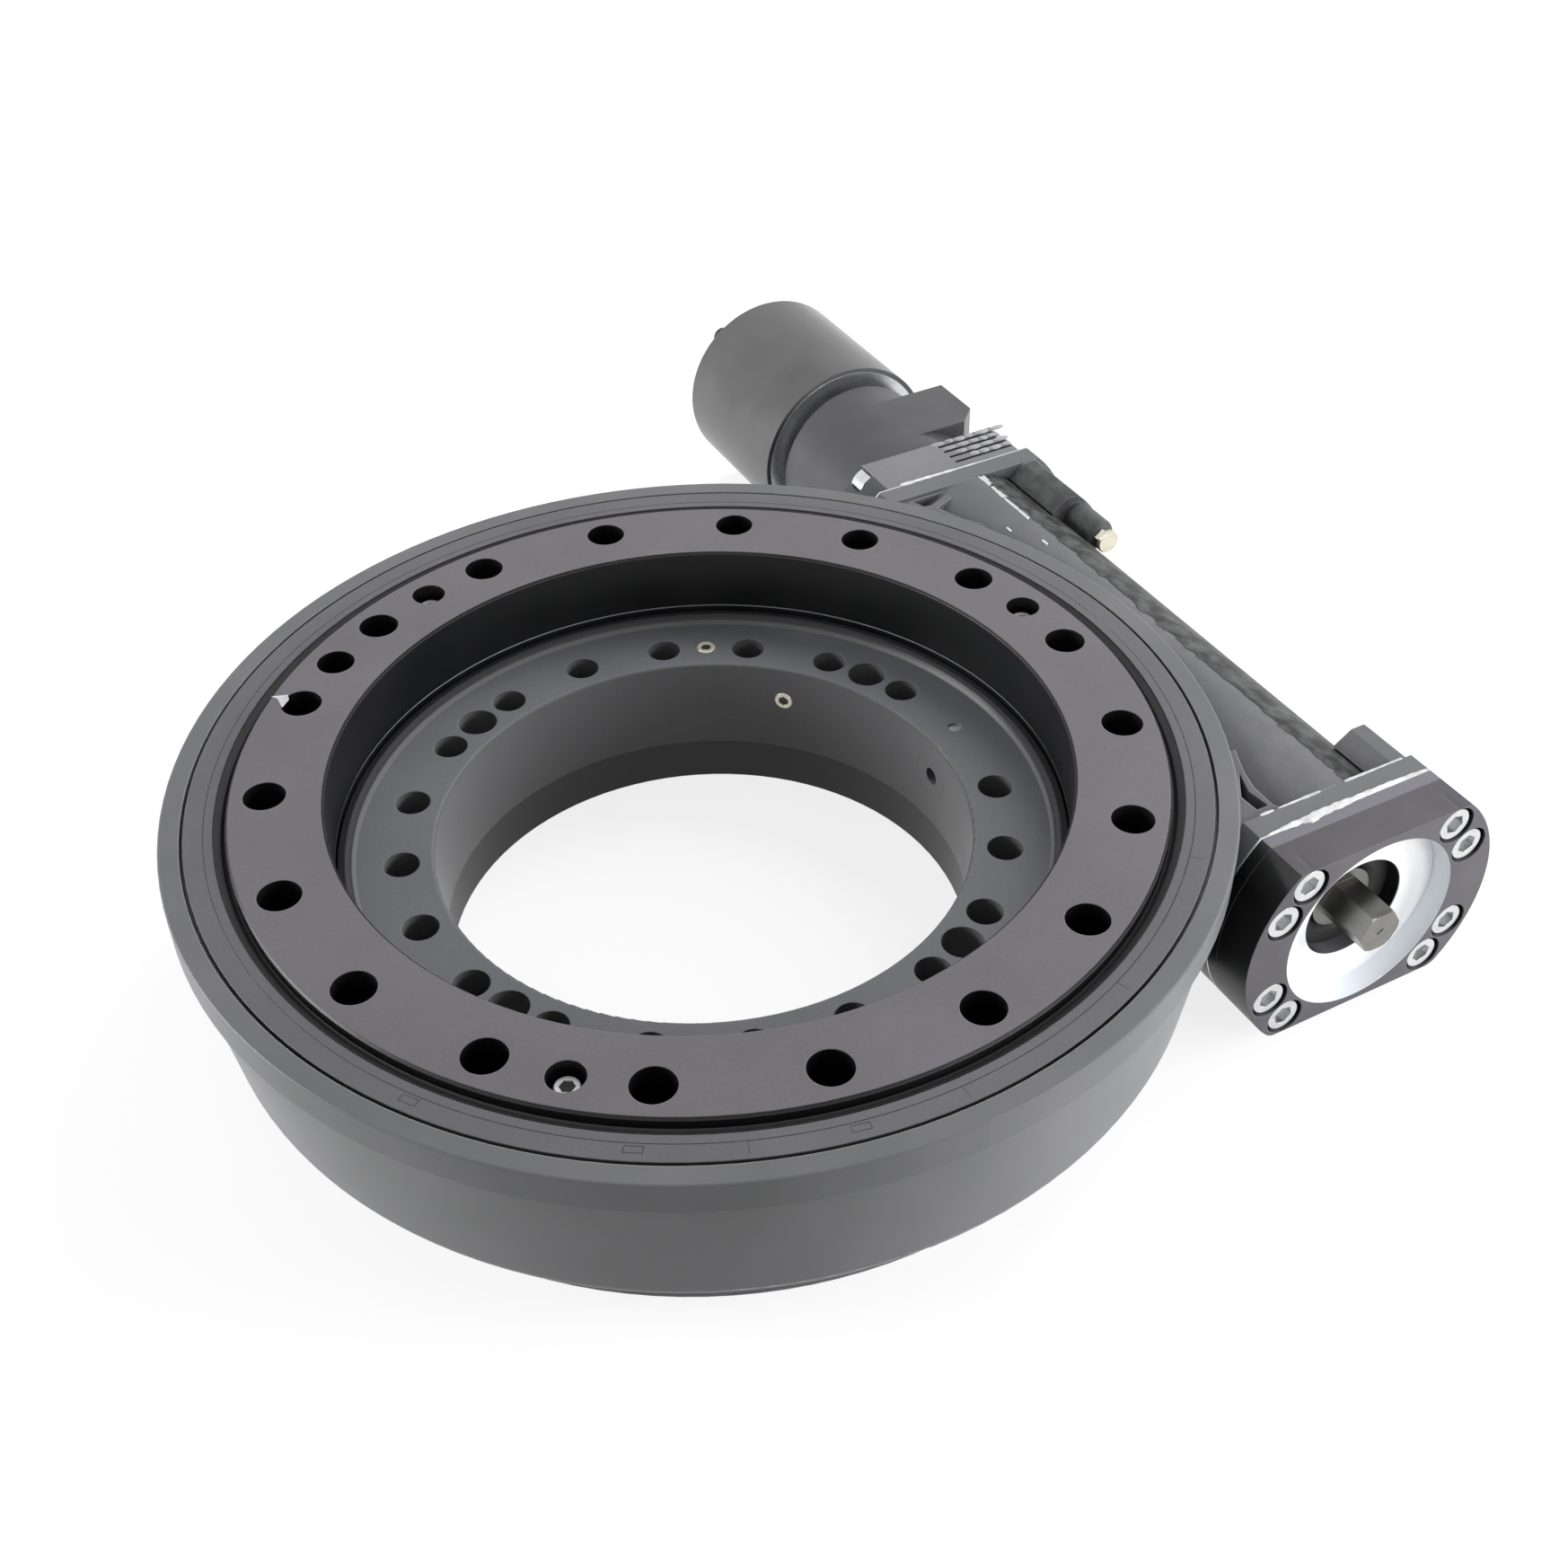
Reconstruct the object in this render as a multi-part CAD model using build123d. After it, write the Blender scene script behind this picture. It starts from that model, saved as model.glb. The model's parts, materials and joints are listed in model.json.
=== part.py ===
from build123d import *
import os
from math import acos, atan, cos, degrees, pi, radians, sin, sqrt, tan

# Solar slew drive, in millimetres, +Z up. The origin is on the slewing axis at the base
# face. The worm lies along X at Y = +centre_distance: the hexagon end points to +X and the
# gearmotor to -X. Angles of turned pieces are counted from +X about Z, or from +Y about
# the worm's axis.

# ---------------------------------------------------------------- driving dimensions
# heights
floor_height = 22.0           # inside floor of the housing, where the inner ring stands
skirt_rise = 2.0              # from the floor up to the underside of the cast wall
ring_lift = 4.0               # from the floor up to the slew ring
ring_height = 80.0            # the slew ring, from its underside to its top face
ring_proud = 2.2              # slew ring above the housing rim and cover ring
worm_rise = 32.5              # from the floor up to the axis of the worm and motor
hole_face_rise = 46.8         # from the floor up to the inner ring's recessed face
shoulder_rise = 3.8           # from that face up to the top of its shoulder
race_rise = 26.5              # from the floor up to the centres of the balls

# radial steps, outwards from the bore
inner_bore_r = 116.8
inner_ring_width = 40.6
race_opening = 0.6            # between the inner ring and the slew ring
ring_face_width = 40.0        # top face of the slew ring
cover_opening = 5.4           # between the slew ring and the cover ring
cover_width = 13.5
cavity_margin = 0.6           # gear chamber wider than the cover ring's opening
wall_margin = 5.8             # cast wall outside the cover ring
rim_lip = 2.9                 # rim band outside the cast wall
wall_taper = 8.7              # cast wall narrower at its foot
boss_inset = 8.0              # mounting boss narrower than the gear chamber

# worm gear
teeth = 85
worm_pitch_r = 27.5
wheel_inset = 3.0             # pitch circle inside the ring's top face
pressure_angle = 20.0
wheel_face = 36.0             # width of the toothed band
worm_length = 92.0            # threaded length
worm_backlash = 0.5
addendum_share = 0.95         # of the module
dedendum_share = 1.2

# slew ring
race_step = 0.4               # the bore is wider below the inner ring's shoulder
bore_step_rise = 2.7          # from the shoulder up to that step
core_step = 1.5               # from the tooth roots down to the plain core
flange_lift = 2.0             # from the worm's thread up to the ring's flange
ring_rest_angle = 8.25        # first bolt hole at rest
bolt_circle_inset = 24.55     # from the ring's bore out to the bolt circle
bolt_hole_r = 9.0
bolt_hole_count = 18
bolt_hole_depth = 45.0
jack_hole_r = 7.7             # three smaller holes with plugs
jack_hole_angles = (98.25, 198.25, 318.25)
spare_hole_r = 8.5
spare_hole_angle = 218.25
jack_plug_length = 12.0
jack_plug_depths = (9.0, 24.0, 2.5)
jack_socket = 7.7             # across flats

# inner ring
bore_rounding = 1.5
shoulder_width = 6.8
shoulder_slope_run = 2.0
shoulder_slope_drop = 1.0
inner_seal_width = 2.8
inner_seal_depth = 3.0
inner_seal_slope = 0.4
inner_circle_inset = 14.2     # from the bore out to the hole circle
inner_hole_r = 7.8
inner_hole_step = 18          # degrees, with one place left out above the worm
plug_angle = 90.0             # ball plug, in the place of the missing hole
plug_margin = 1.0             # plug wider than the balls
plug_tap_r = 4.2
plug_tap_depth = 12.0
plug_pin_r = 3.0
plug_pin_inset = 14.7         # from the bore
plug_pin_angle = 92.0
plug_pin_reach = 6.0          # below the plug's axis
screw_hole_r = 9.0
inner_screw_seat = 18.0       # above the floor
screw_hole_angles = (27, 117, 207, 297)
nipple_face_angle = 153.0
nipple_bore_angle = 134.5
nipple_hole_r = 4.0
nipple_stem = 6.0
nipple_stem_r = 2.9
nipple_sink = 3.0
nipple_flats = 7.0
nipple_hexagon = 3.0
nipple_head_r = 2.6
nipple_waist_r = 1.6
nipple_step = 1.2
nipple_seat = 0.15            # bore nipple's flat base, clear of the curved wall

# balls
ball_r = 10.0
ball_count = 36
race_gap = 0.3
spacer_r = 7.5

# housing casting
rim_band = 14.8               # height of the straight band under the rim
cover_thickness = 7.0
groove_width = 1.5
groove_depth = 3.0
lower_seal_inset = 14.0       # from the ring's bore out to the middle of the lower seal
lower_seal_half_width = 3.0
lower_seal_seat = 1.0
pilot_margin = 0.7            # register in the base face, wider than the bore
tunnel_r = 47.0
tunnel_bore_r = 36.0
flange_x = 152.0              # outer faces of the two tunnel flanges
flange_thickness = 11.0
flange_r = 64.5
flange_half_height = 46.5
screw_boss_r = 62.3
screw_boss_length = 26.0
screw_boss_width = 38.0
long_boss_length = 41.0
web_height = 99.5
web_length = 40.0
web_inset = 2.0
pocket_depth = 30.0
# outlines of the gussets' free edges and of the pockets in them, as (distance along the
# worm from the middle, distance from the worm's axis towards the ring)
hex_gusset_edge = [(140, 24), (136, 25.6), (124, 25.4), (114, 22.6), (100, 16.5)]
hex_pocket = [(113, 24.6), (125, 29), (136, 27.6), (136, 33.4), (126.5, 34)]
motor_gusset_edge = [(140, -1), (138, 0.5), (127.5, 25.5), (112, 19.5), (97, 9)]
motor_pocket = [(131, 27), (139, 6), (139, 34), (131.5, 30.5)]
hole_end_wall = 4.0           # left in the thread bosses below the holes
boss_overlap = 3.0
side_boss_r = 8.0
side_boss_rounding = 4.0
side_boss_offset = 53.5       # from the worm's axis
side_boss_angle = 40.0
side_boss_end = -77.0
side_nipple_flats = 9.5
side_nipple_base = 3.5
side_nipple_cap_r = 5.9
side_nipple_cap = 2.0

# worm shaft
thread_root_clear = 1.0
shoulder_shaft_r = 24.0
bearing_bore_r = 20.0
bearing_outer_r = 40.0
bearing_width = 20.0
hex_across_flats = 19.0
hex_seal_r = 15.0
hex_protrusion = 6.6
hex_root_depth = 18.0
hex_chamfer = 1.0
input_seal_r = 17.5
input_end = -164.0
output_shaft_r = 9.0
input_bore_depth = 48.0
key_width = 6.0
key_height = 6.0
key_length = 32.0

# tapered roller bearings
roller_count = 14
roller_mean_r = 30.0
roller_length = 13.0
cup_angle = 14.0
cone_angle = 10.0
cone_rib = 1.8
cone_rib_width = 3.0
cone_undercut = 0.4
cage_wall = 0.9               # half of the cage's thickness
cage_start = 2.6
cage_end = 1.5

# hexagon end cap
cap_thickness = 19.1
cap_spacer_thickness = 7.0
cap_recess_r = 43.0
cap_recess_depth = 10.4
cap_seal_outer_r = 25.0
seal_width = 8.0
seal_case = 3.0               # radial depth of the seal's lip space
seal_floor = 2.0
cap_hollow_r = 29.0
cap_shaft_gap = 2.0
cap_rib = 3.0                 # wall behind each shaft seal
screw_circle_r = 53.5
screw_angles = (24.4, 44.3)
screw_head_r = 8.0
screw_head_height = 10.0
screw_shank_r = 5.0
screw_tip_gap = 6.0
socket_across_flats = 8.0
counterbore_r = 9.0

# motor adaptor, gearbox and motor
adaptor_thickness = 27.0
adaptor_r = 61.0
adaptor_rib_depth = 1.6
adaptor_rib_pitch = 5.6
adaptor_rib_gap = 2.0
adaptor_rib_count = 4
adaptor_rib_span = 60.0
adaptor_pilot_depth = 4.0
input_seal_outer_r = 26.0
input_seal_inset = 2.0        # from the end of the worm
gasket_thickness = 0.8
gearbox_screw_circle_r = 32.0
gearbox_screw_r = 3.0
gearbox_screw_head_r = 5.0
gearbox_screw_head_height = 6.0
gearbox_screw_length = 22.0
gearbox_screw_seat = 10.0     # from the adaptor's face
gearbox_pilot_r = 22.0
gearbox_r = 44.0
gearbox_length = 77.0
gearbox_lug_start = 16.0      # from the adaptor face
gearbox_lug_length = 40.0
lug_corner_cut = 10.0
gear_wall = 3.0
front_wall = 16.0
bearing_front_wall = 3.0
neck_r = 38.0
neck_length = 8.0
neck_bore_r = 16.0
neck_rounding = 2.0
gearbox_bearing_outer_r = 20.0
gearbox_bearing_inner_r = 10.0
gearbox_bearing_width = 10.0
bearing_shoulder = 3.0
motor_r = 51.0
motor_length = 96.0
can_wall = 2.6
can_rounding = 2.0
motor_screw_circle_r = 27.0
motor_screw_r = 2.5
motor_screw_head_r = 4.2
motor_screw_head_height = 4.0
motor_screw_length = 14.0
end_shield_thickness = 8.0
motor_bearing_outer_r = 14.0
motor_bearing_width = 7.0
motor_pocket_wall = 3.0
armature_r = 38.0
armature_length = 44.0
armature_slots = 12
slot_mouth = 2.4
slot_depth = 7.0
slot_r = 5.0
magnet_inner_r = 39.0
magnet_gap = 12.0
magnet_overhang = 2.0
commutator_r = 14.0
commutator_length = 10.0
commutator_gap = 1.0
commutator_to_core = 5.0
segment_gap = 0.8
segment_depth = 2.0
brush_width = 8.0
brush_length = 15.0
brush_box_length = 18.0
brush_box_wall = 2.0
brush_plate_thickness = 3.0
grommet_r = 5.5
grommet_angle = 128.0
grommet_reach = 6.4
grommet_groove = 1.5
grommet_rounding = 2.0

# planetary gears
gear_module = 1.5
sun_teeth = 18
planet_teeth = 15
ring_teeth = 48
planet_width = 18.0
planet_count = 3
gear_backlash = 0.3
gear_addendum_share = 0.9
planet_pin_r = 4.0
pin_head = 1.5
pin_head_thickness = 0.7
planet_side_gap = 1.0
planet_inset = 8.0            # from the ring gear's seat to the planets
ring_gear_margin = 2.0
ring_gear_overhang = 2.0
carrier_plate = 8.0
carrier_arm = 4.0             # wall round the pins
carrier_hub_margin = 6.0
carrier_step = 1.0
shaft_end_gap = 2.0
motor_shaft_r = 6.0
ball_share = 0.28             # ball radius in a small bearing, of its section
ball_pitch = 2.6              # ball radii per place

# fits
running_gap = 0.05            # radial, between pieces that turn on each other
clearance = 0.3               # between moving pieces that only pass
fit_gap = 0.02                # radial, between fixed pieces
edge_break = 1.0

# ---------------------------------------------------------------- derived values
skirt_bottom = floor_height + skirt_rise
ring_bottom = floor_height + ring_lift
overall_height = ring_bottom + ring_height
rim_height = overall_height - ring_proud
worm_height = floor_height + worm_rise
hole_face_height = floor_height + hole_face_rise
shoulder_height = hole_face_height + shoulder_rise
race_height = floor_height + race_rise
shoulder_r = inner_bore_r + inner_ring_width
ring_bore_r = shoulder_r + race_opening
ring_top_r = ring_bore_r + ring_face_width
cover_inner_r = ring_top_r + cover_opening
cover_outer_r = cover_inner_r + cover_width
cavity_r = cover_inner_r + cavity_margin
wall_top_r = cover_outer_r + wall_margin
wall_bottom_r = wall_top_r - wall_taper
rim_r = wall_top_r + rim_lip
boss_r = cavity_r - boss_inset
pilot_r = inner_bore_r + pilot_margin
shoulder_inner_r = shoulder_r - shoulder_width
inner_seal_groove_r = shoulder_r - inner_seal_width
inner_circle_r = inner_bore_r + inner_circle_inset
plug_pin_circle_r = inner_bore_r + plug_pin_inset
bolt_circle_r = ring_bore_r + bolt_circle_inset
lower_seal_r = ring_bore_r + lower_seal_inset
seal_lip_r = ring_top_r + clearance
wheel_pitch_r = ring_top_r - wheel_inset
centre_distance = wheel_pitch_r + worm_pitch_r
worm_module = 2 * wheel_pitch_r / teeth
worm_lead = pi * worm_module
lead_angle = atan(worm_lead / (2 * pi * worm_pitch_r))
wheel_tip_r = wheel_pitch_r + addendum_share * worm_module
wheel_root_r = wheel_pitch_r - dedendum_share * worm_module
worm_tip_r = worm_pitch_r + addendum_share * worm_module
worm_root_r = centre_distance - wheel_tip_r - thread_root_clear
cup_end = flange_x - flange_thickness
cup_start = cup_end - bearing_width
cap_inner = flange_x + cap_spacer_thickness
cap_face = cap_inner + cap_thickness
cap_floor = cap_face - cap_recess_depth
cap_seat = cap_face - screw_head_height - edge_break
hex_root = cap_face - hex_root_depth
thread_hole_depth = flange_thickness + screw_boss_length - hole_end_wall
thread_end = flange_x - thread_hole_depth + screw_tip_gap
adaptor_face = -(flange_x + gasket_thickness + adaptor_thickness)
adaptor_seat = adaptor_face + screw_head_height + edge_break
gearbox_end = adaptor_face - gearbox_length
motor_front = gearbox_end - neck_length
motor_back = motor_front - motor_length
can_inside = motor_back + can_wall
pocket_end = can_inside + motor_bearing_width
brush_plate_end = pocket_end + brush_plate_thickness
armature_start = brush_plate_end + commutator_gap + commutator_length + commutator_to_core
race_r = (ring_bore_r + shoulder_r) / 2
plug_r = ball_r + plug_margin
gear_addendum = gear_addendum_share * gear_module
gear_dedendum = dedendum_share * gear_module
planet_circle_r = gear_module * (sun_teeth + planet_teeth) / 2
planet_start = gearbox_end + ring_gear_margin + planet_inset
carrier_start = planet_start + planet_width + planet_side_gap
gearbox_bearing_start = adaptor_face - bearing_front_wall - gearbox_bearing_width
hex_corner_r = hex_across_flats / sqrt(3)


# ---------------------------------------------------------------- helpers
standing = (Align.CENTER, Align.CENTER, Align.MIN)
sideways = (Align.MIN, Align.CENTER, Align.MIN)


def turned(points, *rounds):
    """Solid turned about Z from an outline of (radius, height) points; rounds are
    (corner, radius) pairs."""
    outline = make_face(Polyline(*points, close=True))
    for corner, radius in rounds:
        vertex = outline.vertices().sort_by_distance((corner[0], corner[1], 0))[0]
        outline = fillet(vertex, radius)
    return revolve(Plane.XZ * outline, Axis.Z)


def tube(outer, inner, start, end):
    """Plain ring about Z between two heights; inner 0 gives a solid bar."""
    low, high = min(start, end), max(start, end)
    bar = Pos(0, 0, low) * extrude(Circle(outer), high - low)
    if inner:
        bar -= Pos(0, 0, low) * extrude(Circle(inner), high - low)
    return bar


def worm_line(x=0.0, angle=0.0):
    """Frame on the worm's axis: local Z runs along +X, angles start at +Y."""
    frame = Plane(origin=(x, centre_distance, worm_height), x_dir=(0, 1, 0), z_dir=(1, 0, 0))
    return frame.location * Rotation(0, 0, angle)


def polar(radius, angle, height=0.0):
    """Place on a circle about Z, turned so that local X points outwards."""
    return Rotation(0, 0, angle) * Pos(radius, 0, height)


def involute(angle):
    return tan(angle) - angle


def gear_face(count, module, addendum, dedendum, backlash, inside=False):
    """Outline of an involute gear with a tooth on +X; inside gives the open middle of an
    internal gear, which has a space there."""
    pitch_r = count * module / 2
    pressure = radians(pressure_angle)
    base_r = pitch_r * cos(pressure)
    thinning = -backlash if inside else backlash
    root_r = pitch_r - dedendum
    tip_r = pitch_r + addendum

    def half_angle(radius):
        at_radius = acos(min(1.0, base_r / radius))
        flank = involute(pressure) - involute(at_radius)
        return (pi * module / 2 - thinning) / (2 * pitch_r) + flank

    def point(radius, side, centre):
        angle = centre + side * half_angle(max(radius, base_r))
        return (radius * cos(angle), radius * sin(angle))

    start_r = max(root_r, base_r)
    middle_r = (start_r + tip_r) / 2
    edges = []
    for index in range(count):
        centre = 2 * pi * index / count
        after = centre + 2 * pi / count
        between = (centre + after) / 2
        if root_r < base_r:
            edges.append(Line(point(root_r, -1, centre), point(start_r, -1, centre)))
        rising = [point(radius, -1, centre) for radius in (start_r, middle_r, tip_r)]
        falling = [point(radius, 1, centre) for radius in (tip_r, middle_r, start_r)]
        edges.append(ThreePointArc(*rising))
        crest = (tip_r * cos(centre), tip_r * sin(centre))
        edges.append(ThreePointArc(rising[-1], crest, falling[0]))
        edges.append(ThreePointArc(*falling))
        if root_r < base_r:
            edges.append(Line(point(start_r, 1, centre), point(root_r, 1, centre)))
        valley = (root_r * cos(between), root_r * sin(between))
        edges.append(ThreePointArc(point(root_r, 1, centre), valley, point(root_r, -1, after)))
    return make_face(edges)


def hexagon(across_flats):
    return RegularPolygon(across_flats / 2, 6, major_radius=False)


def cap_screw(head_r, head_height, shank_r, length, socket):
    """Socket head cap screw along -Z, with the underside of its head at the origin."""
    head = extrude(Circle(head_r), head_height)
    head = chamfer(head.edges().filter_by(GeomType.CIRCLE).sort_by(Axis.Z)[-1], edge_break / 2)
    shank = extrude(Circle(shank_r), -length)
    recess = Pos(0, 0, head_height / 2) * extrude(hexagon(socket), head_height)
    return head + shank - recess


def flange_outline(radius):
    """Round flange cut flat at top and bottom, its local X towards +Y and Y upwards."""
    outline = Circle(radius) & Rectangle(3 * radius, 2 * flange_half_height)
    lower = outline.vertices().group_by(Axis.Y)[0]
    return fillet(lower, flange_half_height / 6)


def screw_places():
    """The eight screw places of a tunnel flange, in pairs beside the flats."""
    for side in (0, 180):
        for angle in screw_angles:
            for sign in (-1, 1):
                yield Rotation(0, 0, side + sign * angle) * Pos(screw_circle_r, 0, 0)


def ring_bolt_angles():
    return [ring_rest_angle + 360 * k / bolt_hole_count for k in range(bolt_hole_count)]


def floor_hole_angles():
    return [inner_hole_step * k for k in range(360 // inner_hole_step)]


def inner_hole_angles():
    return [angle for angle in floor_hole_angles() if angle != plug_angle]


# ---------------------------------------------------------------- housing
def housing_shell():
    """Turned wall, rim and mounting boss of the casting, not yet hollow."""
    band_bottom = rim_height - rim_band
    step = rim_r - wall_top_r
    corner = (wall_bottom_r, skirt_bottom)
    points = [
        (0, 0), (boss_r, 0), (boss_r, skirt_bottom), corner,
        (wall_top_r, band_bottom - step), (rim_r, band_bottom),
        (rim_r, rim_height), (0, rim_height),
    ]
    return turned(points, (corner, 7.0), ((rim_r, rim_height), edge_break))


def housing_hollow():
    """Everything turned out of the casting: bore, gear chamber and cover seat."""
    seat = rim_height - cover_thickness
    above = rim_height + rim_band
    seat_floor = floor_height - lower_seal_seat
    seat_inner = lower_seal_r - lower_seal_half_width
    seat_outer = lower_seal_r + lower_seal_half_width
    points = [
        (0, -rim_band), (pilot_r, -rim_band), (pilot_r, floor_height), (seat_inner, floor_height),
        (seat_inner, seat_floor), (seat_outer, seat_floor), (seat_outer, floor_height),
        (cavity_r, floor_height), (cavity_r, seat), (cover_outer_r, seat),
        (cover_outer_r, above), (0, above),
    ]
    return turned(points)


def screw_boss(start, length, sign):
    """Thread boss behind a flange, on the free side of the tunnel."""
    middle = sign * (screw_angles[0] + screw_angles[1]) / 2
    depth = 2 * (screw_boss_r - tunnel_r + boss_overlap)
    block = Rotation(0, 0, middle) * Pos(screw_boss_r, 0) * Rectangle(depth, screw_boss_width)
    section = Circle(screw_boss_r) & block & Rectangle(3 * flange_r, 2 * flange_half_height)
    return worm_line(start) * extrude(section, length)


def gusset(sign, free_edge, pocket):
    """Web between the ring wall and a flange, with a thin edge round an open pocket."""
    bottom = skirt_bottom + web_inset
    near_side = flange_r - web_inset
    inside = cup_end - web_length
    outline = free_edge + [(inside, near_side / 2), (inside, near_side), (cup_end, near_side)]

    def prism(points, low, high):
        corners = [(sign * x, centre_distance - y) for x, y in points]
        return Pos(0, 0, low) * extrude(make_face(Polyline(*corners, close=True)), high - low)

    return prism(outline, bottom, web_height) - prism(pocket, web_height - pocket_depth, web_height)


def tunnel_body():
    """Worm tunnel with its flanges, thread bosses and grease boss."""
    body = worm_line() * tube(tunnel_r, 0, -cup_end, cup_end)
    plate = extrude(flange_outline(flange_r), flange_thickness)
    body += worm_line(cup_end) * plate
    body += worm_line(-flange_x) * plate
    for sign in (-1, 1):
        body += screw_boss(cup_end - screw_boss_length, screw_boss_length, sign)
        body += screw_boss(-cup_end, long_boss_length, sign)
    body += gusset(1, hex_gusset_edge, hex_pocket)
    body += gusset(-1, motor_gusset_edge, motor_pocket)
    side_boss = tube(side_boss_r, 0, -cup_end + long_boss_length - boss_overlap, side_boss_end)
    side_boss = fillet(side_boss.edges().sort_by(Axis.Z)[-1], side_boss_rounding)
    body += worm_line(0, side_boss_angle) * Pos(side_boss_offset, 0, 0) * side_boss
    return body


def worm_housing():
    """Main casting: ring wall, floor and worm tunnel in one piece."""
    body = housing_shell() + tunnel_body()
    body -= housing_hollow()
    body -= worm_line() * housing_bore()
    hole = extrude(Circle(screw_shank_r), thread_hole_depth)
    for place in screw_places():
        body -= worm_line(flange_x) * place * Rotation(180, 0, 0) * hole
        body -= worm_line(-flange_x) * place * hole
    for angle in floor_hole_angles():
        body -= polar(inner_circle_r, angle) * extrude(Circle(inner_hole_r), floor_height)
    for angle in screw_hole_angles:
        body -= polar(inner_circle_r, angle) * extrude(Circle(screw_shank_r), floor_height)
    stem = extrude(Circle(nipple_stem_r), nipple_stem)
    body -= side_nipple_place() * Pos(0, 0, -nipple_stem) * stem
    return body


def housing_bore():
    """Bore of the worm tunnel with a bearing seat at each end."""
    outside = flange_x + flange_thickness
    points = [
        (0, -outside), (bearing_outer_r, -outside), (bearing_outer_r, -cup_start),
        (tunnel_bore_r, -cup_start), (tunnel_bore_r, cup_start), (bearing_outer_r, cup_start),
        (bearing_outer_r, outside), (0, outside),
    ]
    return turned(points)


def top_cover_ring():
    """Steel ring that closes the housing and carries the top seal."""
    seat = rim_height - cover_thickness
    outer = cover_outer_r - fit_gap
    points = [
        (cover_inner_r, seat), (outer, seat), (outer, rim_height - groove_depth),
        (outer - groove_width, rim_height - groove_depth), (outer - groove_width, rim_height),
        (cover_inner_r, rim_height),
    ]
    return turned(points)


def top_seal():
    """Rubber lip seal between the cover ring and the slew ring."""
    seat = rim_height - cover_thickness
    outer = cover_inner_r
    points = [
        (seal_lip_r + 2, seat + 1), (outer, seat), (outer, rim_height - 0.5),
        (outer - 3, rim_height - 1.8), (seal_lip_r + 0.9, rim_height - 3.4),
        (seal_lip_r, rim_height - 2.6), (seal_lip_r, rim_height - 3.8),
    ]
    return turned(points)


# ---------------------------------------------------------------- slew ring and inner ring
def wheel_band():
    """Toothed band: an involute outline twisted to the worm's lead angle."""
    twist = degrees(wheel_face * tan(lead_angle) / wheel_pitch_r)
    outline = gear_face(teeth, worm_module, addendum_share * worm_module,
                        dedendum_share * worm_module, worm_backlash)
    bottom = worm_height - wheel_face / 2
    outline = Rotation(0, 0, 90 - twist / 2) * outline
    band = Solid.extrude_linear_with_rotation(
        outline.face(), center=(0, 0, 0), normal=(0, 0, wheel_face), angle=twist)
    return Pos(0, 0, bottom) * band


def slew_ring():
    """Outer ring that turns: bolt face, ball race and worm wheel teeth."""
    flange_bottom = worm_height + worm_tip_r + flange_lift
    core_r = wheel_root_r - core_step
    lower_bore = ring_bore_r + race_step
    step = shoulder_height + bore_step_rise
    top = overall_height
    points = [
        (lower_bore, ring_bottom), (core_r, ring_bottom), (core_r, flange_bottom),
        (ring_top_r, flange_bottom), (ring_top_r, top), (ring_bore_r, top),
        (ring_bore_r, step), (lower_bore, step),
    ]
    ring = turned(points) + (wheel_band() - tube(core_r - core_step, 0, 0, top))
    rims = ring.edges().filter_by(GeomType.CIRCLE).group_by(Axis.Z)[-1]
    ring = chamfer(rims, edge_break)
    ring -= Pos(0, 0, race_height) * Torus(race_r, ball_r + race_gap)
    hole = tube(bolt_hole_r, 0, top - bolt_hole_depth, top)
    for angle in ring_bolt_angles():
        ring -= polar(bolt_circle_r, angle) * hole
    spare_hole = tube(spare_hole_r, 0, top - bolt_hole_depth, top)
    ring -= polar(bolt_circle_r, spare_hole_angle) * spare_hole
    for angle, depth in zip(jack_hole_angles, jack_plug_depths):
        bottom = top - depth - jack_plug_length
        ring -= polar(bolt_circle_r, angle) * tube(jack_hole_r, 0, bottom, top)
    return ring


def jack_plugs():
    """Zinc plated socket plugs in the three smaller holes."""
    plugs = []
    for angle, depth in zip(jack_hole_angles, jack_plug_depths):
        top = overall_height - depth
        plug = tube(jack_hole_r - fit_gap, 0, top - jack_plug_length, top)
        plug -= Pos(0, 0, top - jack_plug_length / 2) * extrude(hexagon(jack_socket), jack_plug_length)
        plugs.append(polar(bolt_circle_r, angle) * plug)
    return Compound(plugs)


def inner_ring():
    """Fixed ring: hole face, sloping shoulder, bore and inner ball race."""
    seat = shoulder_height - inner_seal_depth
    points = [
        (inner_bore_r, floor_height), (shoulder_r, floor_height), (shoulder_r, seat),
        (inner_seal_groove_r, seat), (inner_seal_groove_r, shoulder_height),
        (shoulder_inner_r + shoulder_slope_run, shoulder_height - shoulder_slope_drop),
        (shoulder_inner_r, hole_face_height), (inner_bore_r, hole_face_height),
    ]
    ring = turned(points, ((inner_bore_r, hole_face_height), bore_rounding))
    ring -= Pos(0, 0, race_height) * Torus(race_r, ball_r + race_gap)
    height = hole_face_height - floor_height
    for angle in inner_hole_angles():
        ring -= polar(inner_circle_r, angle, floor_height) * extrude(Circle(inner_hole_r), height)
    for angle in screw_hole_angles:
        at = polar(inner_circle_r, angle, floor_height)
        ring -= at * extrude(Circle(screw_shank_r + clearance), height)
        ring -= at * Pos(0, 0, inner_screw_seat) * extrude(Circle(screw_hole_r), height)
    ring -= fill_plug_bore(plug_r)
    ring -= plug_pin_place() * extrude(Circle(plug_pin_r), height)
    stem = tube(nipple_stem_r, 0, -nipple_stem, 0)
    ring -= face_nipple_place() * (stem + tube(nipple_hole_r, 0, -nipple_sink, nipple_sink))
    ring -= bore_nipple_place() * stem
    return ring


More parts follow.
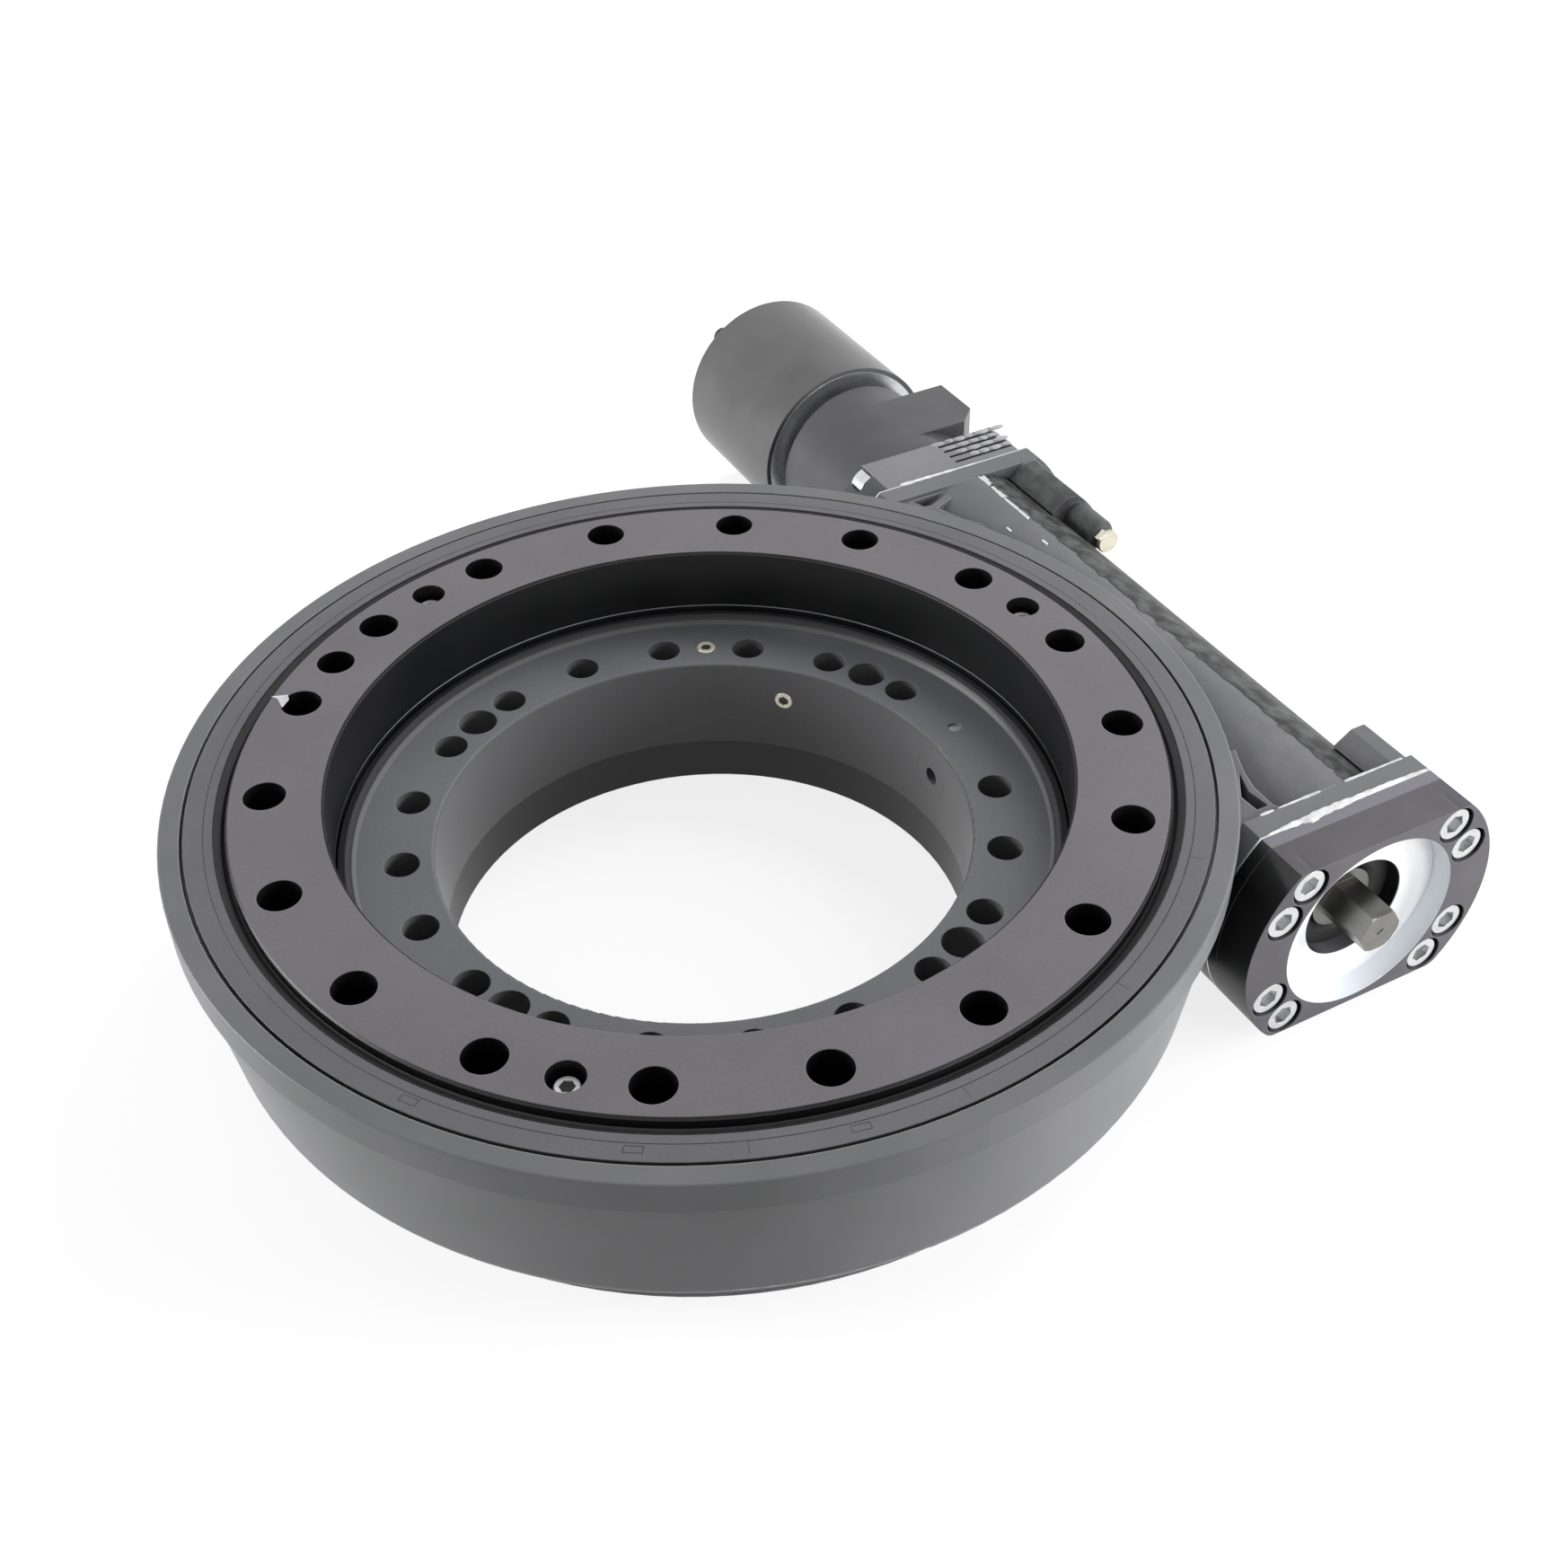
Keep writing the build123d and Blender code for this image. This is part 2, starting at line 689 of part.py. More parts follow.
def fill_plug_bore(radius):
    """Radial bore through which the balls are put in, as a solid bar."""
    start = inner_bore_r - ball_r
    bar = Rotation(0, 90, 0) * extrude(Circle(radius), race_r - start)
    return polar(start, plug_angle, race_height) * bar


def plug_pin_place():
    return polar(plug_pin_circle_r, plug_pin_angle, race_height - plug_pin_reach)


def fill_plug():
    """Plug in the ball filling hole, flush with the bore and shaped to the race."""
    plug = fill_plug_bore(plug_r - fit_gap)
    plug &= tube(race_r - edge_break, inner_bore_r, race_height - 2 * plug_r, race_height + 2 * plug_r)
    plug -= Pos(0, 0, race_height) * Torus(race_r, ball_r + race_gap)
    tap = Rotation(0, 90, 0) * tube(plug_tap_r, 0, -plug_tap_depth, plug_tap_depth)
    plug -= polar(inner_bore_r, plug_angle, race_height) * tap
    return plug - plug_pin_place() * extrude(Circle(plug_pin_r), 2 * plug_r)


def fill_plug_pin():
    """Pin that locks the plug from the hole face."""
    height = hole_face_height - race_height + plug_pin_reach - edge_break
    return plug_pin_place() * extrude(Circle(plug_pin_r - fit_gap), height)


def race_balls():
    step = 360 / ball_count
    return Compound([polar(race_r, step * k, race_height) * Sphere(ball_r) for k in range(ball_count)])


def ball_spacers():
    """Nylon discs between the balls, dished for them."""
    step = 360 / ball_count
    reach = (ball_r + clearance) ** 2 - spacer_r ** 2
    ball_gap = 2 * race_r * sin(radians(step / 2))
    thickness = ball_gap - 2 * sqrt(reach)
    disc = Rotation(90, 0, 0) * Cylinder(spacer_r, thickness)
    for side in (-1, 1):
        disc -= Pos(0, side * ball_gap / 2, 0) * Sphere(ball_r + clearance)
    middle_r = race_r * cos(radians(step / 2))
    return Compound([polar(middle_r, step * (k + 0.5), race_height) * disc for k in range(ball_count)])


def inner_seal():
    """Rubber seal on the inner ring's shoulder, under the slew ring's step."""
    seat = shoulder_height - inner_seal_depth
    points = [
        (inner_seal_groove_r, seat), (shoulder_r, seat),
        (shoulder_r, shoulder_height - inner_seal_slope), (inner_seal_groove_r, shoulder_height),
    ]
    return turned(points)


def lower_seal():
    """Rubber ring in the housing floor, close under the slew ring."""
    bottom = floor_height - lower_seal_seat
    top = ring_bottom - clearance
    shoulder = (floor_height + top) / 2
    half = lower_seal_half_width
    points = [
        (lower_seal_r - half, bottom), (lower_seal_r + half, bottom), (lower_seal_r + half, shoulder),
        (lower_seal_r + half / 3, top), (lower_seal_r - half / 3, top), (lower_seal_r - half, shoulder),
    ]
    return turned(points)


def inner_ring_screws():
    """Cap screws that hold the inner ring down on the housing floor."""
    screw = cap_screw(screw_head_r, screw_head_height, screw_shank_r - fit_gap,
                      inner_screw_seat + floor_height - hole_end_wall, socket_across_flats)
    height = floor_height + inner_screw_seat
    return Compound([polar(inner_circle_r, angle, height) * screw for angle in screw_hole_angles])


def nipple():
    """Grease nipple along +Z, its stem below the origin and its head above."""
    base = nipple_flats / 2
    neck = nipple_hexagon + 2 * nipple_step
    points = [
        (0, nipple_hexagon), (base, nipple_hexagon), (nipple_waist_r, neck),
        (nipple_head_r, neck + nipple_step), (nipple_waist_r, neck + 2 * nipple_step),
        (0, neck + 2 * nipple_step),
    ]
    stem = tube(nipple_stem_r - fit_gap, 0, -nipple_stem, 0)
    return stem + extrude(hexagon(nipple_flats), nipple_hexagon) + turned(points)


def face_nipple_place():
    return polar(inner_circle_r, nipple_face_angle, hole_face_height)


def bore_nipple_place():
    return polar(inner_bore_r - nipple_seat, nipple_bore_angle, race_height) * Rotation(0, -90, 0)


def side_nipple_place():
    return worm_line(side_boss_end, side_boss_angle) * Pos(side_boss_offset, 0, 0)


def grease_nipples():
    """Nipples of the bore and of the hole face, which sits in a counterbore."""
    sunk = face_nipple_place() * Pos(0, 0, -nipple_sink)
    return Compound([bore_nipple_place() * nipple(), sunk * short_nipple()])


def short_nipple():
    """Flush nipple with a round head that fills its counterbore."""
    stem = tube(nipple_stem_r - fit_gap, 0, nipple_sink - nipple_stem, 0)
    head = tube(nipple_hole_r - fit_gap, nipple_step, 0, nipple_sink - nipple_step / 2)
    return stem + head


def tunnel_nipple():
    """Short grease nipple with a hexagon base and a broad cap, in the tunnel's side boss."""
    stem = tube(nipple_stem_r - fit_gap, 0, -nipple_stem, 0)
    base = extrude(hexagon(side_nipple_flats), side_nipple_base)
    cap_end = side_nipple_base + side_nipple_cap
    cap = tube(side_nipple_cap_r, 0, side_nipple_base, cap_end)
    cap = fillet(cap.edges().sort_by(Axis.Z)[-1], side_nipple_cap / 3)
    return side_nipple_place() * (stem + base + cap)


# ---------------------------------------------------------------- worm shaft and bearings
def thread_face():
    """Section of the single-start thread across the worm's axis, its crest on +X."""
    half_thickness = worm_lead / 4 - worm_backlash / 2
    slope = tan(radians(pressure_angle))

    def point(share, side):
        radius = worm_root_r + (worm_tip_r - worm_root_r) * share
        thickness = half_thickness - (radius - worm_pitch_r) * slope
        angle = side * 2 * pi * thickness / worm_lead
        return (radius * cos(angle), radius * sin(angle))

    steps = 5
    rising = [point(k / steps, -1) for k in range(steps + 1)]
    falling = [point(1 - k / steps, 1) for k in range(steps + 1)]
    edges = [
        Spline(*rising), ThreePointArc(rising[-1], (worm_tip_r, 0), falling[0]),
        Spline(*falling), ThreePointArc(falling[-1], (-worm_root_r, 0), rising[0]),
    ]
    return make_face(edges)


def worm_shaft():
    """Worm with its thread, shoulders, bearing seats, seal seats and hexagon end."""
    turns = worm_length / worm_lead
    section = Rotation(0, 0, -180 * turns) * thread_face()
    thread = Solid.extrude_linear_with_rotation(
        section.face(), center=(0, 0, 0), normal=(0, 0, worm_length), angle=360 * turns)
    half = worm_length / 2
    shaft = Pos(0, 0, -half) * thread
    shaft += tube(shoulder_shaft_r, 0, half, cup_start)
    shaft += tube(shoulder_shaft_r, 0, -half, -cup_start)
    shaft += tube(bearing_bore_r, 0, cup_start, cup_end)
    shaft += tube(bearing_bore_r, 0, -cup_start, -cup_end)
    shaft += tube(hex_seal_r, 0, cup_end, hex_root)
    shaft += tube(input_seal_r, 0, -cup_end, input_end)
    hex_length = cap_face + hex_protrusion - hex_root
    hex_bar = extrude(hexagon(hex_across_flats), hex_length)
    hex_bar &= Cone(hex_corner_r - hex_chamfer + hex_length, hex_corner_r - hex_chamfer, hex_length,
                    align=standing)
    shaft += Pos(0, 0, hex_root) * hex_bar
    shaft -= tube(output_shaft_r + fit_gap, 0, input_end, input_end + input_bore_depth)
    shaft -= Pos(0, 0, input_end) * key_bar(fit_gap)
    return worm_line() * shaft


def key_bar(gap):
    """Parallel key from the motor end of the worm, half in the shaft, half in the worm."""
    width = key_width + 2 * gap
    height = key_height / 2 + gap
    bar = Box(2 * height, width, key_length + gap, align=standing)
    return Pos(output_shaft_r, 0, 0) * bar


def drive_key():
    return worm_line(input_end) * key_bar(0)


def bearing_place(side):
    """Frame of a tapered bearing: local Z runs outwards from the worm's middle."""
    if side > 0:
        return worm_line(cup_start)
    return worm_line(-cup_start) * Rotation(180, 0, 0)


def apex_height():
    """Height, in the bearing's frame, of the point where all its cones meet."""
    tilt = radians((cup_angle + cone_angle) / 2)
    return bearing_width / 2 + roller_mean_r / tan(tilt)


def bearing_cup(side):
    """Outer race with a tapered bore, wider towards the worm's middle."""
    low = apex_height() * tan(radians(cup_angle))
    high = (apex_height() - bearing_width) * tan(radians(cup_angle))
    points = [(low, 0), (bearing_outer_r - fit_gap, 0),
              (bearing_outer_r - fit_gap, bearing_width), (high, bearing_width)]
    return bearing_place(side) * turned(points)


def bearing_cone(side):
    """Inner race, a press fit on the shaft, with a low rib at its wide end."""
    slope = tan(radians(cone_angle))
    low = (apex_height() - cone_rib_width) * slope
    high = (apex_height() - bearing_width) * slope
    rib = low + cone_rib
    step = cone_rib_width - cone_undercut
    points = [
        (bearing_bore_r + fit_gap, 0), (rib, 0), (rib, step), (low - cone_undercut, step),
        (low, cone_rib_width), (high, bearing_width), (bearing_bore_r + fit_gap, bearing_width),
    ]
    return bearing_place(side) * turned(points)


def roller_place(index):
    tilt = (cup_angle + cone_angle) / 2
    turn = Rotation(0, 0, 360 * index / roller_count)
    return turn * Pos(0, 0, apex_height()) * Rotation(0, tilt + 180, 0)


def roller(gap):
    """Tapered roller along its own axis; a negative gap gives the cage pocket."""
    half_angle = radians((cup_angle - cone_angle) / 2)
    middle = roller_mean_r / sin(radians((cup_angle + cone_angle) / 2))
    start = middle - roller_length / 2
    end = middle + roller_length / 2
    bar = Cone(start * tan(half_angle) - gap, end * tan(half_angle) - gap, roller_length,
               align=standing)
    return Pos(0, 0, start) * bar


def bearing_rollers(side):
    rollers = [roller_place(k) * roller(clearance) for k in range(roller_count)]
    return Compound([bearing_place(side) * piece for piece in rollers])


def bearing_cage(side):
    """Pressed cage: a thin cone between the rollers, with a pocket for each."""
    slope = tan(radians((cup_angle + cone_angle) / 2))
    high_z = bearing_width - cage_end
    low = (apex_height() - cage_start) * slope
    high = (apex_height() - high_z) * slope
    points = [
        (low - cage_wall, cage_start), (low + cage_wall, cage_start),
        (high + cage_wall, high_z), (high - cage_wall, high_z),
    ]
    cage = turned(points)
    for k in range(roller_count):
        cage -= roller_place(k) * roller(-running_gap)
    return bearing_place(side) * cage


# ---------------------------------------------------------------- hexagon end
def cap_bolt_holes(body, start, radius, length):
    for place in screw_places():
        body -= place * Pos(0, 0, start) * extrude(Circle(radius), length)
    return body


def end_cap():
    """Bearing cover at the hexagon end, with its recess, seal bore and spigot."""
    body = Pos(0, 0, cap_inner) * extrude(flange_outline(flange_r), cap_face - cap_inner)
    body += tube(bearing_outer_r - fit_gap, 0, cup_end, cap_inner)
    body -= tube(cap_recess_r, 0, cap_floor, cap_face)
    seal_start = hex_root - seal_width
    body -= tube(cap_seal_outer_r, 0, seal_start, cap_face)
    body -= tube(cap_hollow_r, 0, cup_end, seal_start - cap_rib)
    body -= tube(hex_seal_r + cap_shaft_gap, 0, cup_end, cap_face)
    body = cap_bolt_holes(body, cap_inner, screw_shank_r + clearance, cap_face - cap_inner)
    body = cap_bolt_holes(body, cap_seat, counterbore_r, cap_face - cap_seat)
    return worm_line() * body


def cap_spacer():
    """Plate between the end cap and the housing flange."""
    start = flange_x + gasket_thickness
    body = Pos(0, 0, start) * extrude(flange_outline(flange_r), cap_inner - start)
    body -= tube(bearing_outer_r, 0, start, cap_inner)
    return worm_line() * cap_bolt_holes(body, start, screw_shank_r + clearance, cap_inner - start)


def shim(start):
    """Thin aluminium shim that sets the bearing play."""
    body = Pos(0, 0, start) * extrude(flange_outline(flange_r), gasket_thickness)
    body -= tube(bearing_outer_r, 0, start, start + gasket_thickness)
    return worm_line() * cap_bolt_holes(body, start, screw_shank_r + clearance, gasket_thickness)


def cap_screws():
    screw = cap_screw(screw_head_r, screw_head_height, screw_shank_r - fit_gap,
                      cap_seat - thread_end, socket_across_flats)
    return Compound([worm_line(cap_seat) * place * screw for place in screw_places()])


def shaft_seal(inner, outer):
    """Rotary lip seal: a flat ring with a lip that thins towards the shaft."""
    lip = inner + clearance
    space = inner + seal_case
    points = [
        (outer, 0), (outer, seal_width), (space, seal_width), (lip, seal_width - seal_floor),
        (lip, seal_width / 2 + edge_break), (space, seal_width / 2 - edge_break), (space, seal_floor),
        (inner + seal_case / 2, seal_floor), (inner + seal_case / 2, 0),
    ]
    return turned(points)


def hex_end_seal():
    return worm_line(hex_root - seal_width) * shaft_seal(hex_seal_r, cap_seal_outer_r - fit_gap)


# ---------------------------------------------------------------- motor adaptor


def four_places(radius):
    for k in range(4):
        yield Rotation(0, 0, 45 + 90 * k) * Pos(radius, 0, 0)


def motor_adaptor():
    """Plate that joins the gearbox to the tunnel, ribbed on its free upper corner."""
    inner = adaptor_face + adaptor_thickness
    body = Pos(0, 0, adaptor_face) * extrude(flange_outline(adaptor_r), adaptor_thickness)
    body += tube(bearing_outer_r - fit_gap, 0, inner, -cup_end)
    corner = Rotation(0, 0, screw_angles[1]) * Pos(adaptor_r, 0) * Rectangle(adaptor_r, adaptor_rib_span)
    outside = Circle(2 * adaptor_r) - offset(flange_outline(adaptor_r), -adaptor_rib_depth)
    groove = extrude(outside & corner, adaptor_rib_gap)
    for k in range(adaptor_rib_count):
        body -= Pos(0, 0, adaptor_face + adaptor_rib_pitch * (k + 0.6)) * groove
    seal_start = input_end + input_seal_inset
    body -= tube(input_seal_r + cap_shaft_gap, 0, adaptor_face, -cup_end)
    body -= tube(input_seal_outer_r, 0, seal_start, seal_start + seal_width)
    body -= tube(cap_hollow_r, 0, seal_start + seal_width + cap_rib, -cup_end)
    body -= tube(gearbox_pilot_r + fit_gap, 0, adaptor_face, adaptor_face + adaptor_pilot_depth)
    body = cap_bolt_holes(body, adaptor_face, screw_shank_r + clearance, adaptor_thickness)
    body = cap_bolt_holes(body, adaptor_face, counterbore_r, screw_head_height + edge_break)
    seat = adaptor_face + gearbox_screw_seat
    for place in four_places(gearbox_screw_circle_r):
        body -= place * tube(gearbox_screw_r + clearance, 0, adaptor_face, seat)
        body -= place * tube(gearbox_screw_head_r + clearance, 0, seat, -cup_end)
    return worm_line() * body


def adaptor_screws():
    screw = cap_screw(screw_head_r, screw_head_height, screw_shank_r - fit_gap,
                      -thread_end - adaptor_seat, socket_across_flats)
    screw = Rotation(180, 0, 0) * screw
    return Compound([worm_line(adaptor_seat) * place * screw for place in screw_places()])


def gearbox_screws():
    screw = cap_screw(gearbox_screw_head_r, gearbox_screw_head_height,
                      gearbox_screw_r - fit_gap, gearbox_screw_length, gearbox_screw_head_r)
    seat = worm_line(adaptor_face + gearbox_screw_seat)
    return Compound([seat * place * screw for place in four_places(gearbox_screw_circle_r)])


def input_seal():
    return worm_line(input_end + input_seal_inset) * shaft_seal(input_seal_r, input_seal_outer_r - fit_gap)


# ---------------------------------------------------------------- gearbox
def planet_turns():
    """Turns about the worm's axis to the planets, the first one upright."""
    return [Rotation(0, 0, 90 + 360 * k / planet_count) for k in range(planet_count)]


def gearbox_housing():
    """Round gearbox case with a square lug on its free upper corner and a short neck."""
    front = adaptor_face
    body = turned([(0, motor_front), (neck_r, motor_front), (neck_r, gearbox_end),
                   (gearbox_r, gearbox_end), (gearbox_r, front), (0, front)],
                  ((neck_r, gearbox_end), neck_rounding), ((gearbox_r, gearbox_end), edge_break))
    lug_start = front - gearbox_lug_start - gearbox_lug_length
    lug = extrude(Rectangle(gearbox_r, gearbox_r, align=(Align.MIN, Align.MIN)), gearbox_lug_length)
    outer_end = lug.edges().filter_by(Axis.Y).group_by(Axis.Z)[-1].sort_by(Axis.X)[-1]
    lug = chamfer(outer_end, lug_corner_cut)
    body += Pos(0, 0, lug_start) * lug
    body += tube(gearbox_pilot_r, 0, front, front + adaptor_pilot_depth)
    cavity_end = front - front_wall
    body -= tube(gearbox_r - gear_wall, 0, gearbox_end + ring_gear_margin, cavity_end)
    bearing_end = gearbox_bearing_start + gearbox_bearing_width
    body -= tube(gearbox_bearing_outer_r, 0, gearbox_bearing_start, bearing_end)
    body -= tube(gearbox_bearing_outer_r - bearing_shoulder, 0, cavity_end - edge_break, front + adaptor_pilot_depth)
    body -= tube(neck_bore_r, 0, motor_front, gearbox_end + ring_gear_margin)
    for place in four_places(gearbox_screw_circle_r):
        body -= place * tube(gearbox_screw_r, 0, cavity_end + gear_wall, front)
    for place in four_places(motor_screw_circle_r):
        body -= place * tube(motor_screw_r, 0, motor_front, gearbox_end)
    return worm_line() * body


def ring_gear():
    """Fixed internal gear of the planetary stage, with a space facing each planet."""
    length = planet_width + 2 * ring_gear_overhang
    start = planet_start - ring_gear_overhang
    middle = gear_face(ring_teeth, gear_module, gear_dedendum, gear_addendum, gear_backlash, inside=True)
    body = extrude(Circle(gearbox_r - gear_wall - fit_gap), length)
    body -= extrude(Rotation(0, 0, 90) * middle, length)
    return worm_line() * Pos(0, 0, start) * body


def sun_gear():
    """Pinion on the motor shaft."""
    outline = gear_face(sun_teeth, gear_module, gear_addendum, gear_dedendum, gear_backlash)
    body = extrude(Rotation(0, 0, 90) * outline, planet_width)
    body -= extrude(Circle(motor_shaft_r + fit_gap), planet_width)
    return worm_line(planet_start) * body


def planet_gear(index):
    """Planet on its pin: a tooth faces the ring gear and a space faces the sun."""
    outline = gear_face(planet_teeth, gear_module, gear_addendum, gear_dedendum, gear_backlash)
    body = extrude(outline, planet_width)
    body -= extrude(Circle(planet_pin_r + running_gap), planet_width)
    return worm_line(planet_start) * planet_turns()[index] * Pos(planet_circle_r, 0, 0) * body


def planet_carrier():
    """Three-armed plate with the output shaft that enters the worm."""
    plate = Circle(planet_circle_r - carrier_hub_margin)
    arm_r = planet_pin_r + carrier_arm
    for turn in planet_turns():
        plate += turn * Pos(planet_circle_r, 0) * Circle(arm_r)
        plate += turn * Pos(planet_circle_r / 2, 0) * Rectangle(planet_circle_r, 2 * arm_r)
    body = Pos(0, 0, carrier_start) * extrude(plate, carrier_plate)
    shaft_start = adaptor_face - carrier_step
    body += tube(gearbox_bearing_inner_r, 0, carrier_start, shaft_start)
    body += tube(output_shaft_r, 0, shaft_start, input_end + input_bore_depth - shaft_end_gap)
    pin_hole = Pos(planet_circle_r, 0, carrier_start) * extrude(Circle(planet_pin_r), carrier_plate)
    for turn in planet_turns():
        body -= turn * pin_hole
    body -= Pos(0, 0, input_end) * key_bar(fit_gap)
    return worm_line() * body


def planet_pins():
    """Pins of the planets, pressed into the carrier."""
    start = planet_start - planet_side_gap
    length = carrier_start + carrier_plate - start
    pin = extrude(Circle(planet_pin_r - fit_gap), length)
    pin += extrude(Circle(planet_pin_r + pin_head), pin_head_thickness)
    pin = Pos(planet_circle_r, 0, start) * pin
    return Compound([worm_line() * turn * pin for turn in planet_turns()])


def ball_bearing(outer, inner, width, start):
    """Races and balls of a ball bearing about local Z, as three shapes."""
    mean = (outer + inner) / 2
    ball = (outer - inner) * ball_share
    groove = Pos(0, 0, start + width / 2) * Torus(mean, ball + running_gap)
    outer_race = tube(outer - fit_gap, mean + ball / 2, start, start + width) - groove
    inner_race = tube(mean - ball / 2, inner + fit_gap, start, start + width) - groove
    count = int(2 * pi * mean / (ball_pitch * ball))
    balls = [polar(mean, 360 * k / count, start + width / 2) * Sphere(ball) for k in range(count)]
    return outer_race, inner_race, balls


def gearbox_bearing():
    return ball_bearing(gearbox_bearing_outer_r, gearbox_bearing_inner_r, gearbox_bearing_width,
                        gearbox_bearing_start)


# ---------------------------------------------------------------- motor


def motor_can():
    """Deep drawn motor case, closed at the back with a bearing pocket inside."""
    pocket_r = motor_bearing_outer_r + motor_pocket_wall
    points = [
        (0, motor_back), (motor_r, motor_back), (motor_r, motor_front),
        (motor_r - can_wall, motor_front), (motor_r - can_wall, can_inside),
        (pocket_r, can_inside), (pocket_r, pocket_end), (motor_bearing_outer_r, pocket_end),
        (motor_bearing_outer_r, can_inside), (0, can_inside),
    ]
    body = worm_line() * turned(points, ((motor_r, motor_back), can_rounding))
    return body - grommet_place() * extrude(Circle(grommet_r - grommet_groove), can_wall)


def end_shield():
    """Front plate of the motor with the front bearing."""
    inner_face = motor_front - end_shield_thickness
    body = tube(motor_r - can_wall - fit_gap, 0, inner_face, motor_front)
    body -= tube(motor_bearing_outer_r, 0, inner_face, inner_face + motor_bearing_width)
    body -= tube(motor_shaft_r + cap_shaft_gap, 0, inner_face, motor_front)
    for place in four_places(motor_screw_circle_r):
        body -= place * tube(motor_screw_r + clearance, 0, inner_face, motor_front)
    return worm_line() * body


def motor_screws():
    screw = cap_screw(motor_screw_head_r, motor_screw_head_height, motor_screw_r - fit_gap,
                      motor_screw_length, motor_screw_head_r)
    screw = Rotation(180, 0, 0) * screw
    seat = worm_line(motor_front - end_shield_thickness)
    return Compound([seat * place * screw for place in four_places(motor_screw_circle_r)])


def motor_bearings():
    front = motor_front - end_shield_thickness
    return [ball_bearing(motor_bearing_outer_r, motor_shaft_r, motor_bearing_width, start)
            for start in (can_inside, front)]


def armature():
    """Laminated rotor core with winding slots, on its shaft."""
    core = Circle(armature_r)
    for k in range(armature_slots):
        turn = Rotation(0, 0, 360 * k / armature_slots)
        core -= turn * Pos(armature_r, 0) * Rectangle(2 * slot_depth + slot_mouth, slot_mouth)
        core -= turn * Pos(armature_r - slot_depth - slot_r, 0) * Circle(slot_r)
    body = Pos(0, 0, armature_start) * extrude(core, armature_length)
    body += tube(motor_shaft_r, 0, can_inside + fit_gap, planet_start + planet_width)
    return worm_line() * body


def commutator():
    """Copper segments on the shaft, split by slots."""
    ring = Circle(commutator_r) - Circle(motor_shaft_r + fit_gap)
    slot = Pos(commutator_r, 0) * Rectangle(2 * segment_depth, segment_gap)
    for k in range(armature_slots):
        ring -= Rotation(0, 0, 360 * k / armature_slots) * slot
    return worm_line(brush_plate_end + commutator_gap) * extrude(ring, commutator_length)


def motor_magnets():
    """Four arc magnets glued inside the can."""
    start = armature_start - magnet_overhang
    ring = Circle(motor_r - can_wall - fit_gap) - Circle(magnet_inner_r)
    ring -= Rectangle(2 * motor_r, magnet_gap) + Rectangle(magnet_gap, 2 * motor_r)
    return worm_line(start) * extrude(ring, armature_length + 2 * magnet_overhang)


def brush_holder():
    """Insulating plate on the bearing pocket, with two open boxes for the brushes."""
    top = brush_plate_thickness
    hole_r = commutator_r + brush_box_wall
    plate = tube(motor_r - can_wall - fit_gap, hole_r, 0, top)
    box = Box(brush_box_length, brush_width + 2 * brush_box_wall, commutator_length, align=sideways)
    box -= Box(brush_box_length, brush_width, commutator_length - brush_box_wall, align=sideways)
    for side in (0, 180):
        plate += Rotation(0, 0, side) * Pos(hole_r + edge_break, 0, top) * box
    return worm_line(pocket_end) * plate


def motor_brushes():
    """Two carbon brushes against the commutator."""
    width = brush_width - 2 * fit_gap
    height = commutator_length - brush_box_wall - fit_gap
    brush = Pos(commutator_r, 0, 0) * Box(brush_length, width, height, align=sideways)
    brush -= extrude(Circle(commutator_r + clearance), commutator_length)
    return Compound([worm_line(brush_plate_end, side) * brush for side in (0, 180)])


def grommet_place():
    """Frame on the back of the can, near its rim, where the lead comes out."""
    return worm_line(motor_back, grommet_angle) * Pos(motor_r - grommet_r - can_wall, 0, 0)


def cable_grommet():
    """Rubber grommet where the motor's lead leaves the can."""
    body = tube(grommet_r, 0, -grommet_reach, 0)
    rim = body.edges().filter_by(GeomType.CIRCLE).sort_by(Axis.Z)[0]
    body = fillet(rim, grommet_rounding)
    body += tube(grommet_r - grommet_groove - fit_gap, 0, 0, can_wall)
    return grommet_place() * body


